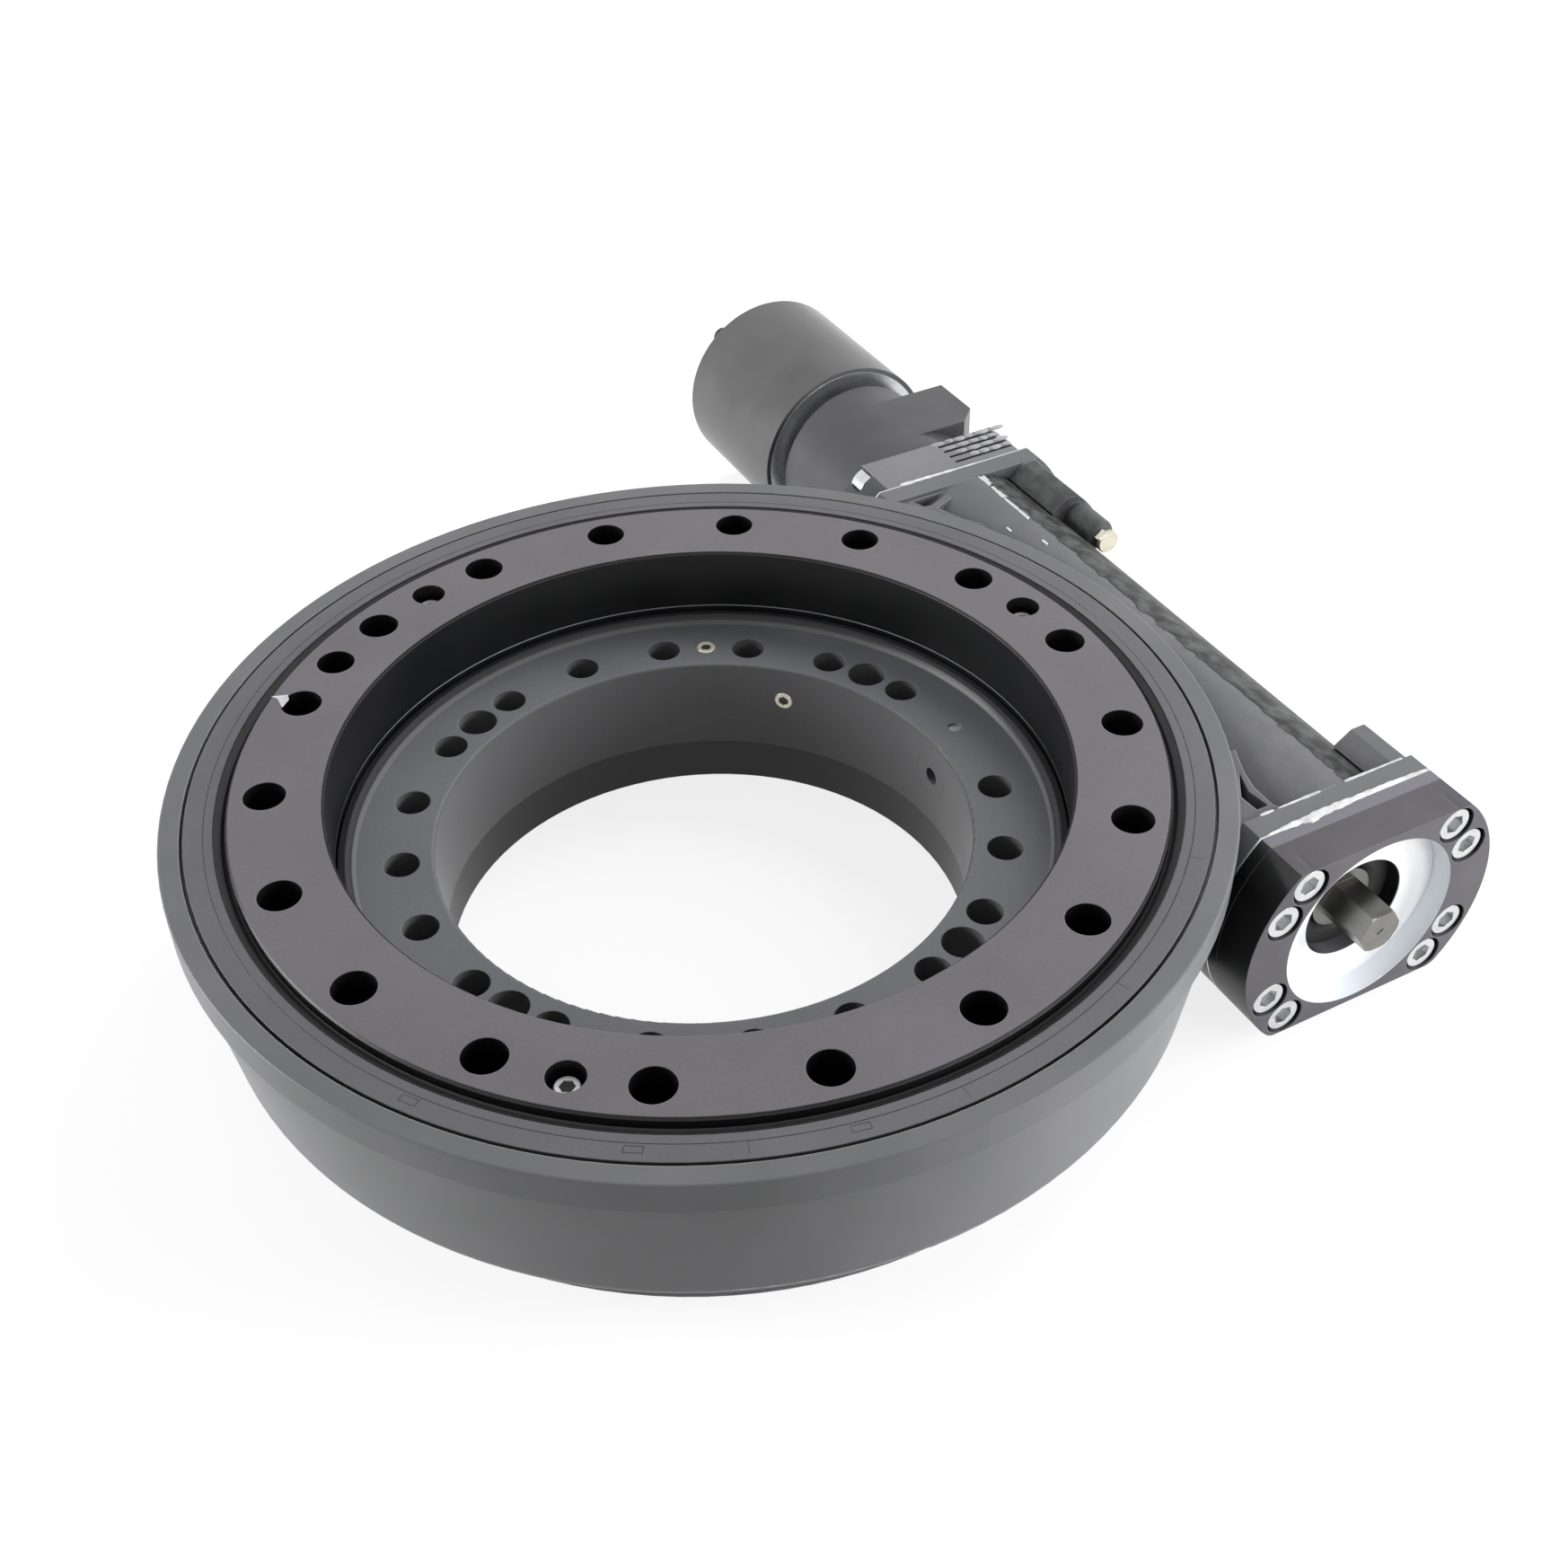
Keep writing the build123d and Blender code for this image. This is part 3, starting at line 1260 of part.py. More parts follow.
# ---------------------------------------------------------------- all pieces
def all_pieces():
    gearbox_outer, gearbox_inner, gearbox_balls = gearbox_bearing()
    bearings = motor_bearings()
    line = worm_line()
    pieces = {
        "worm_housing": worm_housing(),
        "top_cover_ring": top_cover_ring(),
        "top_seal": top_seal(),
        "slew_ring": slew_ring(),
        "jack_plugs": jack_plugs(),
        "inner_ring": inner_ring(),
        "inner_seal": inner_seal(),
        "lower_seal": lower_seal(),
        "inner_ring_screws": inner_ring_screws(),
        "fill_plug": fill_plug(),
        "fill_plug_pin": fill_plug_pin(),
        "race_balls": race_balls(),
        "ball_spacers": ball_spacers(),
        "grease_nipples": grease_nipples(),
        "tunnel_nipple": tunnel_nipple(),
        "worm_shaft": worm_shaft(),
        "end_cap": end_cap(),
        "cap_spacer": cap_spacer(),
        "cap_shim": shim(flange_x),
        "cap_screws": cap_screws(),
        "hex_end_seal": hex_end_seal(),
        "adaptor_shim": shim(-flange_x - gasket_thickness),
        "motor_adaptor": motor_adaptor(),
        "adaptor_screws": adaptor_screws(),
        "input_seal": input_seal(),
        "drive_key": drive_key(),
        "gearbox_screws": gearbox_screws(),
        "gearbox_housing": gearbox_housing(),
        "ring_gear": ring_gear(),
        "sun_gear": sun_gear(),
        "planet_carrier": planet_carrier(),
        "planet_pins": planet_pins(),
        "gearbox_bearing_outer": line * gearbox_outer,
        "gearbox_bearing_inner": line * gearbox_inner,
        "gearbox_bearing_balls": Compound([line * ball for ball in gearbox_balls]),
        "motor_can": motor_can(),
        "end_shield": end_shield(),
        "motor_screws": motor_screws(),
        "armature": armature(),
        "commutator": commutator(),
        "motor_magnets": motor_magnets(),
        "brush_holder": brush_holder(),
        "motor_brushes": motor_brushes(),
        "motor_bearing_outers": Compound([line * outer for outer, inner, balls in bearings]),
        "motor_bearing_inners": Compound([line * inner for outer, inner, balls in bearings]),
        "motor_bearing_balls": Compound([line * ball for outer, inner, balls in bearings for ball in balls]),
        "cable_grommet": cable_grommet(),
    }
    for name, side in (("hex_end", 1), ("motor_end", -1)):
        pieces["bearing_cup_" + name] = bearing_cup(side)
        pieces["bearing_cone_" + name] = bearing_cone(side)
        pieces["bearing_rollers_" + name] = bearing_rollers(side)
        pieces["bearing_cage_" + name] = bearing_cage(side)
    for index in range(planet_count):
        pieces["planet_gear_" + str(index + 1)] = planet_gear(index)
    return pieces


os.makedirs("parts", exist_ok=True)
for node, shape in all_pieces().items():
    export_step(shape, "parts/" + node + ".step")
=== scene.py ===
"""Looks of the solar slew drive: the finish of every CAD node, with painted light and shade,
and the sealant, pebbled casting, painted highlights, screws and small marks that its CAD
model leaves out, with the camera, lamps and floor."""
import json

import bpy
import numpy as np
from math import pi, radians
from mathutils import Euler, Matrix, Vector


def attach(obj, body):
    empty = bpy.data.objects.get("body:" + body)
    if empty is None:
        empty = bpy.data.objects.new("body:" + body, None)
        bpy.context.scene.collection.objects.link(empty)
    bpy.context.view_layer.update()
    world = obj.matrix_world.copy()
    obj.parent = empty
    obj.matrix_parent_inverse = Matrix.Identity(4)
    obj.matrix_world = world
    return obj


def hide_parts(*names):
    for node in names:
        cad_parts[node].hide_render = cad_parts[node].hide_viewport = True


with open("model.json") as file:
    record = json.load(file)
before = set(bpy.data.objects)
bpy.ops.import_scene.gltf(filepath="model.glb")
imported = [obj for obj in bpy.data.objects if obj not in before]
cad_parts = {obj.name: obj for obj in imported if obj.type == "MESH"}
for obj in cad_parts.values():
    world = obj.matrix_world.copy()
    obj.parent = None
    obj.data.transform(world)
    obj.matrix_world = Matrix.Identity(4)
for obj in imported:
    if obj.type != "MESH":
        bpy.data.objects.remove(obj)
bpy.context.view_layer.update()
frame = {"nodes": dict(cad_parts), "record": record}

# Places on the drive that its finishes and small pieces follow, in metres.
MM = 0.001
WORM = (0.2225, 0.0545)           # Y and Z of the worm's axis, which runs along X
TUNNEL_RADIUS = 0.0470            # outside of the tunnel about the worm
WALL_RADIUS = 0.2258              # outside of the round wall, where the tunnel starts
RAW_REACH = 0.1405                # the raw casting ends at the flanges, on both sides
FAR_SHADE_LINE = 0.2316             # Y of the line along the tunnel's crest beyond which its far side is painted dark: painted shade
HUMP_END = -0.0740                # X where the hump by the motor's flange ends
CREST_BAND = (0.0860, 0.0960)     # Z over which the painted shade on the tunnel's far side darkens to the crest
LOWER_BORE = 0.1290               # bore of the housing, below the inner ring; its paint is darkened inside it, a painted shade
SEAL_REACH = 0.1595               # the slew ring's seal rubs it out to this radius
RECESS_RADIUS = 0.0430            # bright recess in the cap
RECESS_FLOOR = 0.1677
FLANGE_TOP = 0.1010               # flat tops of the flanges, the cap and the adaptor
FLANGE_EDGE = 0.1408              # X of the cap flange's inner edge
HEXAGON_END = 0.18475             # end face of the worm's hexagon

# Heights and radii about the ring's axis in mm, and angles in degrees.
RING_TOP = 106.0
COVER_TOP = 103.8
COVER_LIP = 207.3                 # radius of the joint between the cover ring and its lip
CLIP_SPAN = (208.6, 211.6)        # inner and outer radius of a clip's outline in the cover
COVER_SPAN = (206.8, 213.2)       # the same for a joint that crosses the cover
HOLE_CIRCLE = 182.55
INNER_BORE = 116.8                # bore of the inner ring
INNER_FACE = 68.8                 # height of its face with the holes
BORE_NIPPLE = 134.5               # angle of the grease nipple in that bore

COAT_GLOSS = 0.3                  # oiled black coating and thin paint shine less than bare plastic
SCREW_SIDES = 48


# ---------------------------------------------------------------- materials
def linear(hex_colour):
    """sRGB hex colour as linear RGBA."""
    parts = [int(hex_colour[i:i + 2], 16) / 255 for i in (1, 3, 5)]
    low = [p / 12.92 if p <= 0.04045 else ((p + 0.055) / 1.055) ** 2.4 for p in parts]
    return (*low, 1.0)


def add(tree, kind, inputs=(), **settings):
    """Adds a node. Settings are its properties. Inputs come in order, or in a dict by name or
    number: a node (for its first output) or an output is linked, and a plain value is set."""
    made = tree.nodes.new("ShaderNode" + kind)
    for key, value in settings.items():
        setattr(made, key, value)
    for key, value in inputs.items() if isinstance(inputs, dict) else enumerate(inputs):
        source = value.outputs[0] if isinstance(value, bpy.types.Node) else value
        if isinstance(source, bpy.types.NodeSocket):
            tree.links.new(source, made.inputs[key])
        else:
            made.inputs[key].default_value = source
    return made


def start_material(name):
    """Empty node material, its tree, and Object coordinates: metres in the drive's frame."""
    material = bpy.data.materials.new(name)
    material.use_nodes = True
    tree = material.node_tree
    tree.nodes.clear()
    return material, tree, add(tree, "TexCoord").outputs["Object"]


def per_mm(size):
    """Scale of a noise whose blotches are about that many mm across."""
    return 1 / (size * MM)


def layered(tree, colour, *layers):
    """Colour of a ground under layers; each layer is a share from 0 to 1 and its colour."""
    for share, paint in layers:
        colour = add(tree, "Mix", {0: share, 6: colour, 7: paint}, data_type="RGBA").outputs[2]
    return colour


def edge_wear_and_highlight(tree, rounded, most=1.0):
    """Share that rises to most on the edges, where the rounded normal leaves the plain one. The callers paint
    the edges paler with it: wear, and a painted highlight.
    """
    plain = add(tree, "NewGeometry").outputs["Normal"]
    same = add(tree, "VectorMath", (rounded, plain), operation="DOT_PRODUCT").outputs["Value"]
    return add(tree, "MapRange", (same, 0.995, 0.86, 0.0, most))


def face_share(tree, axes):
    """1 on faces square to one of the axes, and 0 on the others."""
    normal = add(tree, "SeparateXYZ", (add(tree, "NewGeometry").outputs["Normal"],)).outputs
    shares = [add(tree, "MapRange", (add(tree, "Math", (normal[axis],), operation="ABSOLUTE"), 0.72, 0.97))
              for axis in axes]
    widest = shares[0]
    for share in shares[1:]:
        widest = add(tree, "Math", (widest, share), operation="MAXIMUM")
    return widest


def axis_radius(tree, place, across="XY", centre=(0.0, 0.0)):
    """Distance from the axis through centre that is square to the two directions across."""
    parts = add(tree, "SeparateXYZ", (place,)).outputs
    squares = [add(tree, "Math", (add(tree, "Math", (parts[axis], middle), operation="SUBTRACT"), 2.0),
                   operation="POWER") for axis, middle in zip(across, centre)]
    return add(tree, "Math", (add(tree, "Math", squares, operation="ADD"),), operation="SQRT")


def turned_coating(name, face, side, edge, axes="Z", tool_marks=None, bright_recess=False,
                   shade_beyond=None, polished_height=None):
    """Black coated steel, turned before it was coated. Faces square to the axes take the face
    colour and the walls the darker side colour: painted light on the faces and painted shade
    on the walls. Edges are painted paler, as wear and as a painted highlight, and the tool's
    rings shimmer on a face. The real rings are about 0.2 mm apart; tool_marks, in mm, is
    wider so that they show. With bright_recess the cap's recess is bare turned metal. The
    face is painted dark beyond a given radius, a painted shade on its shoulder, and a seal
    has rubbed a bright line in the bore at polished_height."""
    material, tree, place = start_material(name)
    rounded = add(tree, "Bevel", {"Radius": 0.7 * MM}, samples=6)
    radius = axis_radius(tree, place)
    cloud = add(tree, "TexNoise", {"Vector": place, "Scale": per_mm(60), "Detail": 2.0, "Roughness": 0.55})
    fine = add(tree, "TexNoise", {"Vector": place, "Scale": per_mm(1.6), "Detail": 4.0, "Roughness": 0.55})
    # Share of faces square to the axes: the lighter face colour there is painted light, and the darker side
    # colour on the walls is painted shade.
    turned = face_share(tree, axes)
    clouded = add(tree, "Math", (add(tree, "MapRange", (cloud, 0.3, 0.7, 0.0, 0.22)),
                                 add(tree, "MapRange", (turned, 0.0, 1.0, 0.1, 1.0))), operation="MULTIPLY")
    colour = layered(tree, linear(side), (turned, linear(face)), (clouded, linear(edge)),
                     (add(tree, "MapRange", (fine, 0.35, 0.75, 0.0, 0.10)), linear("#1c1c1e")),
                     (edge_wear_and_highlight(tree, rounded, 0.5), linear(edge)))
    # Painted shade: the face is darkened beyond the given radius, where the inner ring's shoulder lies in
    # shade.
    if shade_beyond:
        painted_shade_share = add(tree, "MapRange", (radius, shade_beyond, shade_beyond + 0.5 * MM, 0.0, 0.93))
        colour = layered(tree, colour, (painted_shade_share, linear("#2b2a2d")))
    if polished_height:
        level = add(tree, "SeparateXYZ", (place,)).outputs["Z"]
        off = add(tree, "Math", (level, polished_height), operation="SUBTRACT")
        near = add(tree, "MapRange", (add(tree, "Math", (off,), operation="ABSOLUTE"), 0.6 * MM, 0.3 * MM))
        in_bore = add(tree, "MapRange", (radius, SEAL_REACH + 0.5 * MM, SEAL_REACH))
        line = add(tree, "Math", (near, in_bore), operation="MULTIPLY")
        colour = layered(tree, colour, (line, linear("#a4a9af")))
    height = add(tree, "Math", (fine, 0.5), operation="MULTIPLY")
    if tool_marks:
        turns = add(tree, "Math", (radius, 2 * pi / (tool_marks * MM)), operation="MULTIPLY")
        rings = add(tree, "Math", (turns,), operation="SINE")
        groove = add(tree, "Math", (rings, 0.12), operation="MULTIPLY")
        height = add(tree, "Math", (height, groove), operation="ADD")
    shader = add(tree, "BsdfPrincipled", {
        "Base Color": colour, "Roughness": add(tree, "MapRange", (cloud, 0.3, 0.7, 0.36, 0.45)),
        "Specular IOR Level": COAT_GLOSS,
        "Normal": add(tree, "Bump", {"Height": height, "Distance": 0.03 * MM, "Strength": 1.0,
                                     "Normal": rounded})})
    if bright_recess:
        shader = bared_recess(tree, place, fine, rounded, shader)
    add(tree, "OutputMaterial", {"Surface": shader})
    return material


def bared_recess(tree, place, fine, rounded, coat):
    """The coat, with bare bright metal in the round recess about the worm's axis: nearly
    white where it was faced, and a little bluer on its wall. The tool's rings are drawn
    0.7 mm apart, wider than they are, so that they show."""
    from_worm = axis_radius(tree, place, "YZ", WORM)
    along = add(tree, "SeparateXYZ", (place,)).outputs["X"]
    inside = add(tree, "Math", (
        add(tree, "MapRange", (from_worm, RECESS_RADIUS + 0.3 * MM, RECESS_RADIUS)),
        add(tree, "MapRange", (along, RECESS_FLOOR - 0.6 * MM, RECESS_FLOOR - 0.3 * MM))),
                 operation="MULTIPLY")
    on_wall = add(tree, "MapRange", (from_worm, RECESS_RADIUS - 0.8 * MM, RECESS_RADIUS - 0.3 * MM))
    turns = add(tree, "Math", (from_worm, 2 * pi / (0.7 * MM)), operation="MULTIPLY")
    rings = add(tree, "Math", (turns,), operation="SINE")
    bright = add(tree, "BsdfPrincipled", {
        "Base Color": layered(tree, linear("#fcfcfd"), (on_wall, linear("#e6ebf0"))), "Metallic": 0.25,
        "Roughness": add(tree, "MapRange", (fine, 0.3, 0.7, 0.3, 0.42)),
        "Normal": add(tree, "Bump", {"Height": rings, "Distance": 0.004 * MM, "Strength": 1.0,
                                     "Normal": rounded})})
    return add(tree, "MixShader", (inside, coat, bright))


def cast_paint(name):
    """Grey paint on the cast iron housing: smooth where it was turned, and grainy where the
    sand mould shows, on the worm tunnel outside the round wall. The far side of the tunnel,
    beyond a ragged line along its crest, is painted dark and mottled, darkest near the crest,
    with a stronger grain: painted shade. The lower bore is painted dark, a painted shade, and
    edges are painted paler, as wear and as a painted highlight. Sand is 0.3 mm across; the
    grain is drawn at 1.8 mm, with lumps of 9 mm, so that it shows."""
    material, tree, place = start_material(name)
    rounded = add(tree, "Bevel", {"Radius": 0.9 * MM}, samples=6)
    radius = axis_radius(tree, place)
    spot = add(tree, "SeparateXYZ", (place,)).outputs
    cloud = add(tree, "TexNoise", {"Vector": place, "Scale": per_mm(70), "Detail": 2.0, "Roughness": 0.55})
    grain = add(tree, "TexNoise", {"Vector": place, "Scale": per_mm(1.8), "Detail": 5.0, "Roughness": 0.65})
    lumps = add(tree, "TexNoise", {"Vector": place, "Scale": per_mm(9), "Detail": 4.0, "Roughness": 0.6})

    reach = add(tree, "Math", (spot["X"],), operation="ABSOLUTE")
    outside = add(tree, "MapRange", (radius, WALL_RADIUS, WALL_RADIUS + 1.7 * MM))
    between_flanges = add(tree, "MapRange", (reach, RAW_REACH + 2 * MM, RAW_REACH))
    raw = add(tree, "Math", (outside, between_flanges), operation="MULTIPLY")
    wander = add(tree, "MapRange", (lumps, 0.3, 0.7, -1.5 * MM, 1.5 * MM))
    ragged = add(tree, "Math", (spot["Y"], wander), operation="ADD")
    # Painted shade: the tunnel's far side, beyond a ragged line along its crest, is painted dark.
    beyond = add(tree, "Math", (add(tree, "MapRange", (ragged, FAR_SHADE_LINE, FAR_SHADE_LINE + 1.2 * MM)), raw),
                 operation="MULTIPLY")
    from_worm = axis_radius(tree, place, "YZ", WORM)
    on_tube = add(tree, "MapRange", (from_worm, TUNNEL_RADIUS + 1.5 * MM, TUNNEL_RADIUS + 0.5 * MM))
    on_hump = add(tree, "Math", (add(tree, "MapRange", (spot["X"], HUMP_END + 4 * MM, HUMP_END, 0.0, 0.75)),
                                 add(tree, "MapRange", (spot["X"], -RAW_REACH, -RAW_REACH + 2 * MM))),
                  operation="MULTIPLY")
    shaded_far_side = add(tree, "Math", (beyond, add(tree, "Math", (on_tube, on_hump), operation="MAXIMUM")),
               operation="MULTIPLY")

    dust = add(tree, "Math", (raw, add(tree, "MapRange", (lumps, 0.4, 0.7, 0.0, 0.45))), operation="MULTIPLY")
    near_crest = add(tree, "MapRange", (spot["Z"], *CREST_BAND))
    on_lumps = add(tree, "MapRange", (lumps, 0.4, 0.66))
    # Colour of that painted shade: mottled, and darkest near the crest.
    shade_blotch = layered(tree, linear("#464647"), (near_crest, linear("#262627")), (on_lumps, linear("#565757")))
    less_in_shade = add(tree, "MapRange", (shaded_far_side, 0.0, 1.0, 0.55, 0.15))
    # Edges painted paler, as wear and as a painted highlight; less of it on the painted shade of the tunnel's
    # far side.
    rubbed = add(tree, "Math", (edge_wear_and_highlight(tree, rounded), less_in_shade), operation="MULTIPLY")
    # The lower bore gets a dark grey here: painted shade.
    colour = layered(tree, linear("#68696a"), (add(tree, "MapRange", (cloud, 0.3, 0.7)), linear("#747477")),
                     (add(tree, "MapRange", (radius, LOWER_BORE + 1 * MM, LOWER_BORE)), linear("#303031")),
                     (dust, linear("#606062")), (shaded_far_side, shade_blotch), (rubbed, linear("#b6b6b9")))
    sand = add(tree, "Mix", {0: 0.7, 2: grain, 3: lumps})
    depth = add(tree, "Math", (add(tree, "MapRange", (shaded_far_side, 0.0, 1.0, 0.22, 1.0)),
                               add(tree, "MapRange", (raw, 0.0, 1.0, 0.1, 1.0))), operation="MULTIPLY")
    height = add(tree, "Math", (sand, depth), operation="MULTIPLY")
    shader = add(tree, "BsdfPrincipled", {
        "Base Color": colour, "Roughness": add(tree, "MapRange", (raw, 0.0, 1.0, 0.38, 0.52)),
        "Specular IOR Level": COAT_GLOSS,
        "Normal": add(tree, "Bump", {"Height": height, "Distance": 1.4 * MM, "Strength": 1.0,
                                     "Normal": rounded})})
    add(tree, "OutputMaterial", {"Surface": shader})
    return material


def enamel(name, darker, lighter, roughness):
    """Sprayed enamel on a drawn or turned case: a faint orange peel, soft clouds, and edges
    painted pale, as wear and as a painted highlight."""
    material, tree, place = start_material(name)
    rounded = add(tree, "Bevel", {"Radius": 0.8 * MM}, samples=6)
    cloud = add(tree, "TexNoise", {"Vector": place, "Scale": per_mm(45), "Detail": 2.0, "Roughness": 0.55})
    peel = add(tree, "TexNoise", {"Vector": place, "Scale": per_mm(1.3), "Detail": 2.0, "Roughness": 0.55})
    colour = layered(tree, linear(darker), (add(tree, "MapRange", (cloud, 0.3, 0.7)), linear(lighter)),
                     (edge_wear_and_highlight(tree, rounded, 0.4), linear("#a2a2a4")))
    shader = add(tree, "BsdfPrincipled", {
        "Base Color": colour,
        "Roughness": add(tree, "MapRange", (cloud, 0.3, 0.7, roughness - 0.04, roughness + 0.06)),
        "Specular IOR Level": COAT_GLOSS,
        "Normal": add(tree, "Bump", {"Height": peel, "Distance": 0.03 * MM, "Strength": 1.0,
                                     "Normal": rounded})})
    add(tree, "OutputMaterial", {"Surface": shader})
    return material


def bare_metal(name, colour, stained, roughness, stroke_mm, metallic=1.0):
    """Ground, turned or plated metal: tool strokes break up its reflections, and small
    stains dull them. The strokes are drawn wider than real ones, so that they show. A milky
    chromate over the plating takes metallic below 1."""
    material, tree, place = start_material(name)
    rounded = add(tree, "Bevel", {"Radius": 0.4 * MM}, samples=6)
    stroke = add(tree, "TexNoise", {"Vector": place, "Scale": per_mm(stroke_mm), "Detail": 5.0,
                                    "Roughness": 0.7})
    stain = add(tree, "TexNoise", {"Vector": place, "Scale": per_mm(7), "Detail": 3.0, "Roughness": 0.55})
    dulled = add(tree, "MapRange", (stain, 0.45, 0.75, 0.0, 0.35))
    tone = layered(tree, linear(colour), (dulled, linear(stained)))
    shader = add(tree, "BsdfPrincipled", {
        "Base Color": tone, "Metallic": metallic,
        "Roughness": add(tree, "MapRange", (stroke, 0.3, 0.7, roughness - 0.07, roughness + 0.1)),
        "Normal": add(tree, "Bump", {"Height": stroke, "Distance": 0.012 * MM, "Strength": 1.0,
                                     "Normal": rounded})})
    add(tree, "OutputMaterial", {"Surface": shader})
    return material


def plain_stuff(name, colour, mottle, roughness, grain_mm):
    """Moulded or pressed non-metals such as rubber, nylon and carbon: a matt grain, drawn
    coarser than it is so that it shows, and a slight mottle nine grains wide."""
    material, tree, place = start_material(name)
    rounded = add(tree, "Bevel", {"Radius": 0.3 * MM}, samples=6)
    grain = add(tree, "TexNoise", {"Vector": place, "Scale": per_mm(grain_mm), "Detail": 4.0,
                                   "Roughness": 0.6})
    wide = add(tree, "TexNoise", {"Vector": place, "Scale": per_mm(9 * grain_mm), "Detail": 2.0,
                                  "Roughness": 0.55})
    tone = layered(tree, linear(colour), (add(tree, "MapRange", (wide, 0.35, 0.7)), linear(mottle)))
    shader = add(tree, "BsdfPrincipled", {
        "Base Color": tone,
        "Roughness": add(tree, "MapRange", (grain, 0.3, 0.7, roughness - 0.05, roughness + 0.05)),
        "Normal": add(tree, "Bump", {"Height": grain, "Distance": 0.02 * MM, "Strength": 1.0,
                                     "Normal": rounded})})
    add(tree, "OutputMaterial", {"Surface": shader})
    return material


def cured_sealant(name, colour, thin):
    """Cured sealant, and the white of a fleck and of painted highlights: a soft satin bead with a fine
    wrinkle, greyer where thin.
    """
    material, tree, place = start_material(name)
    wrinkle = add(tree, "TexNoise", {"Vector": place, "Scale": per_mm(1.5), "Detail": 4.0, "Roughness": 0.55})
    patch = add(tree, "TexNoise", {"Vector": place, "Scale": per_mm(6), "Detail": 3.0, "Roughness": 0.55})
    tone = layered(tree, linear(colour), (add(tree, "MapRange", (patch, 0.35, 0.7)), linear(thin)))
    shader = add(tree, "BsdfPrincipled", {
        "Base Color": tone, "Roughness": add(tree, "MapRange", (wrinkle, 0.3, 0.7, 0.32, 0.5)),
        "Normal": add(tree, "Bump", {"Height": wrinkle, "Distance": 0.12 * MM, "Strength": 1.0})})
    add(tree, "OutputMaterial", {"Surface": shader})
    return material


# ---------------------------------------------------------------- finish of every CAD node
# Each turned_coating takes a face colour for the faces square to its axes and a darker side colour for the
# walls: painted light and painted shade. The inner ring's face is also darkened beyond a radius of 0.1515 m:
# painted shade.
inner_ring_coat = turned_coating("coated_steel_inner_ring", "#737479", "#676769", "#919196",
                                 tool_marks=0.9, shade_beyond=0.1515)
zinc = bare_metal("zinc_plated_steel", "#d9dadb", "#a5a6a4", 0.22, 0.5)
carbon = plain_stuff("pressed_carbon", "#19191a", "#222223", 0.5, 0.4)
by_node = {
    "slew_ring": turned_coating("coated_steel_slew_ring", "#6a686d", "#08090a", "#8a888f",
                                tool_marks=1.1, polished_height=0.075),
    "inner_ring": inner_ring_coat,
    "fill_plug": inner_ring_coat,
    "fill_plug_pin": zinc,
    "top_cover_ring": turned_coating("coated_steel_cover_ring", "#636266", "#3a3a3c", "#8a888f",
                                     tool_marks=0.8),
    "end_cap": turned_coating("black_coated_cap", "#4e4c51", "#070808", "#8d8c92", axes="XZ",
                              bright_recess=True),
    "cap_spacer": turned_coating("black_coated_spacer", "#77757c", "#070808", "#8d8c92", axes="XZ"),
    "motor_adaptor": turned_coating("coated_adaptor", "#78787b", "#4c4d4e", "#a5a5a8"),
    "worm_housing": cast_paint("painted_cast_iron"),
    "gearbox_housing": enamel("gearbox_enamel", "#4b4b4d", "#59595b", 0.30),
    "motor_can": enamel("motor_enamel", "#575758", "#646465", 0.28),
    "worm_shaft": bare_metal("ground_steel_worm", "#82817c", "#63635f", 0.34, 1.2),
}
by_slot = {
    "bare_steel": bare_metal("machined_steel", "#8e8f90", "#6b6b6b", 0.32, 0.9),
    "bearing_steel": bare_metal("polished_bearing_steel", "#c9cacb", "#a9aaab", 0.12, 0.5),
    "zinc_plated": zinc,
    "brass": bare_metal("nickel_plated_brass", "#e3ddcb", "#a89f88", 0.26, 0.5),
    "copper": bare_metal("copper_segments", "#b87556", "#8a5540", 0.3, 0.6),
    "aluminium": bare_metal("rolled_aluminium_shim", "#dcdddf", "#b9babc", 0.3, 0.5),
    "seal_rubber": plain_stuff("black_nitrile_rubber", "#1b1b1c", "#232324", 0.55, 0.5),
    "nylon": plain_stuff("natural_nylon", "#d8d4c6", "#c9c4b4", 0.45, 0.7),
    "ferrite": plain_stuff("sintered_ferrite", "#303133", "#3a3b3d", 0.6, 0.6),
    "carbon": carbon,
    "phenolic": plain_stuff("moulded_phenolic", "#4a3020", "#553826", 0.4, 0.8),
}
slot_of = {part["node"]: part["material_slot"] for part in frame["record"]["subparts"]}
for node_name, thing in frame["nodes"].items():
    thing.data.materials.clear()
    thing.data.materials.append(by_node.get(node_name) or by_slot[slot_of[node_name]])

sealant = cured_sealant("cured_white_sealant", "#f1f1f2", "#c9c9cc")
# White for the fleck by a hole, and for the painted highlights along the cap flange's edge.
white_fleck_and_highlight = cured_sealant("white_fleck_and_painted_highlight", "#e3e3e5", "#b9b9bc")
# Bright metal for the slivers along the tunnel's crest: painted highlight.
crest_highlight = bare_metal("bright_crest_painted_highlight", "#e4e4e6", "#b0b0b2", 0.34, 0.6)
pebbled_coat = enamel("pebbled_adaptor_coat", "#97979a", "#b0b0b3", 0.45)
milky_zinc = bare_metal("milky_zinc_plate", "#fcfcfc", "#efefed", 0.32, 0.5, metallic=0.3)
milky_nickel = bare_metal("milky_nickel_plate", "#efe9d8", "#cfc8b4", 0.3, 0.5, metallic=0.4)
oily_line = plain_stuff("oil_dark_joint", "#2e2d30", "#3c3b3e", 0.5, 0.6)


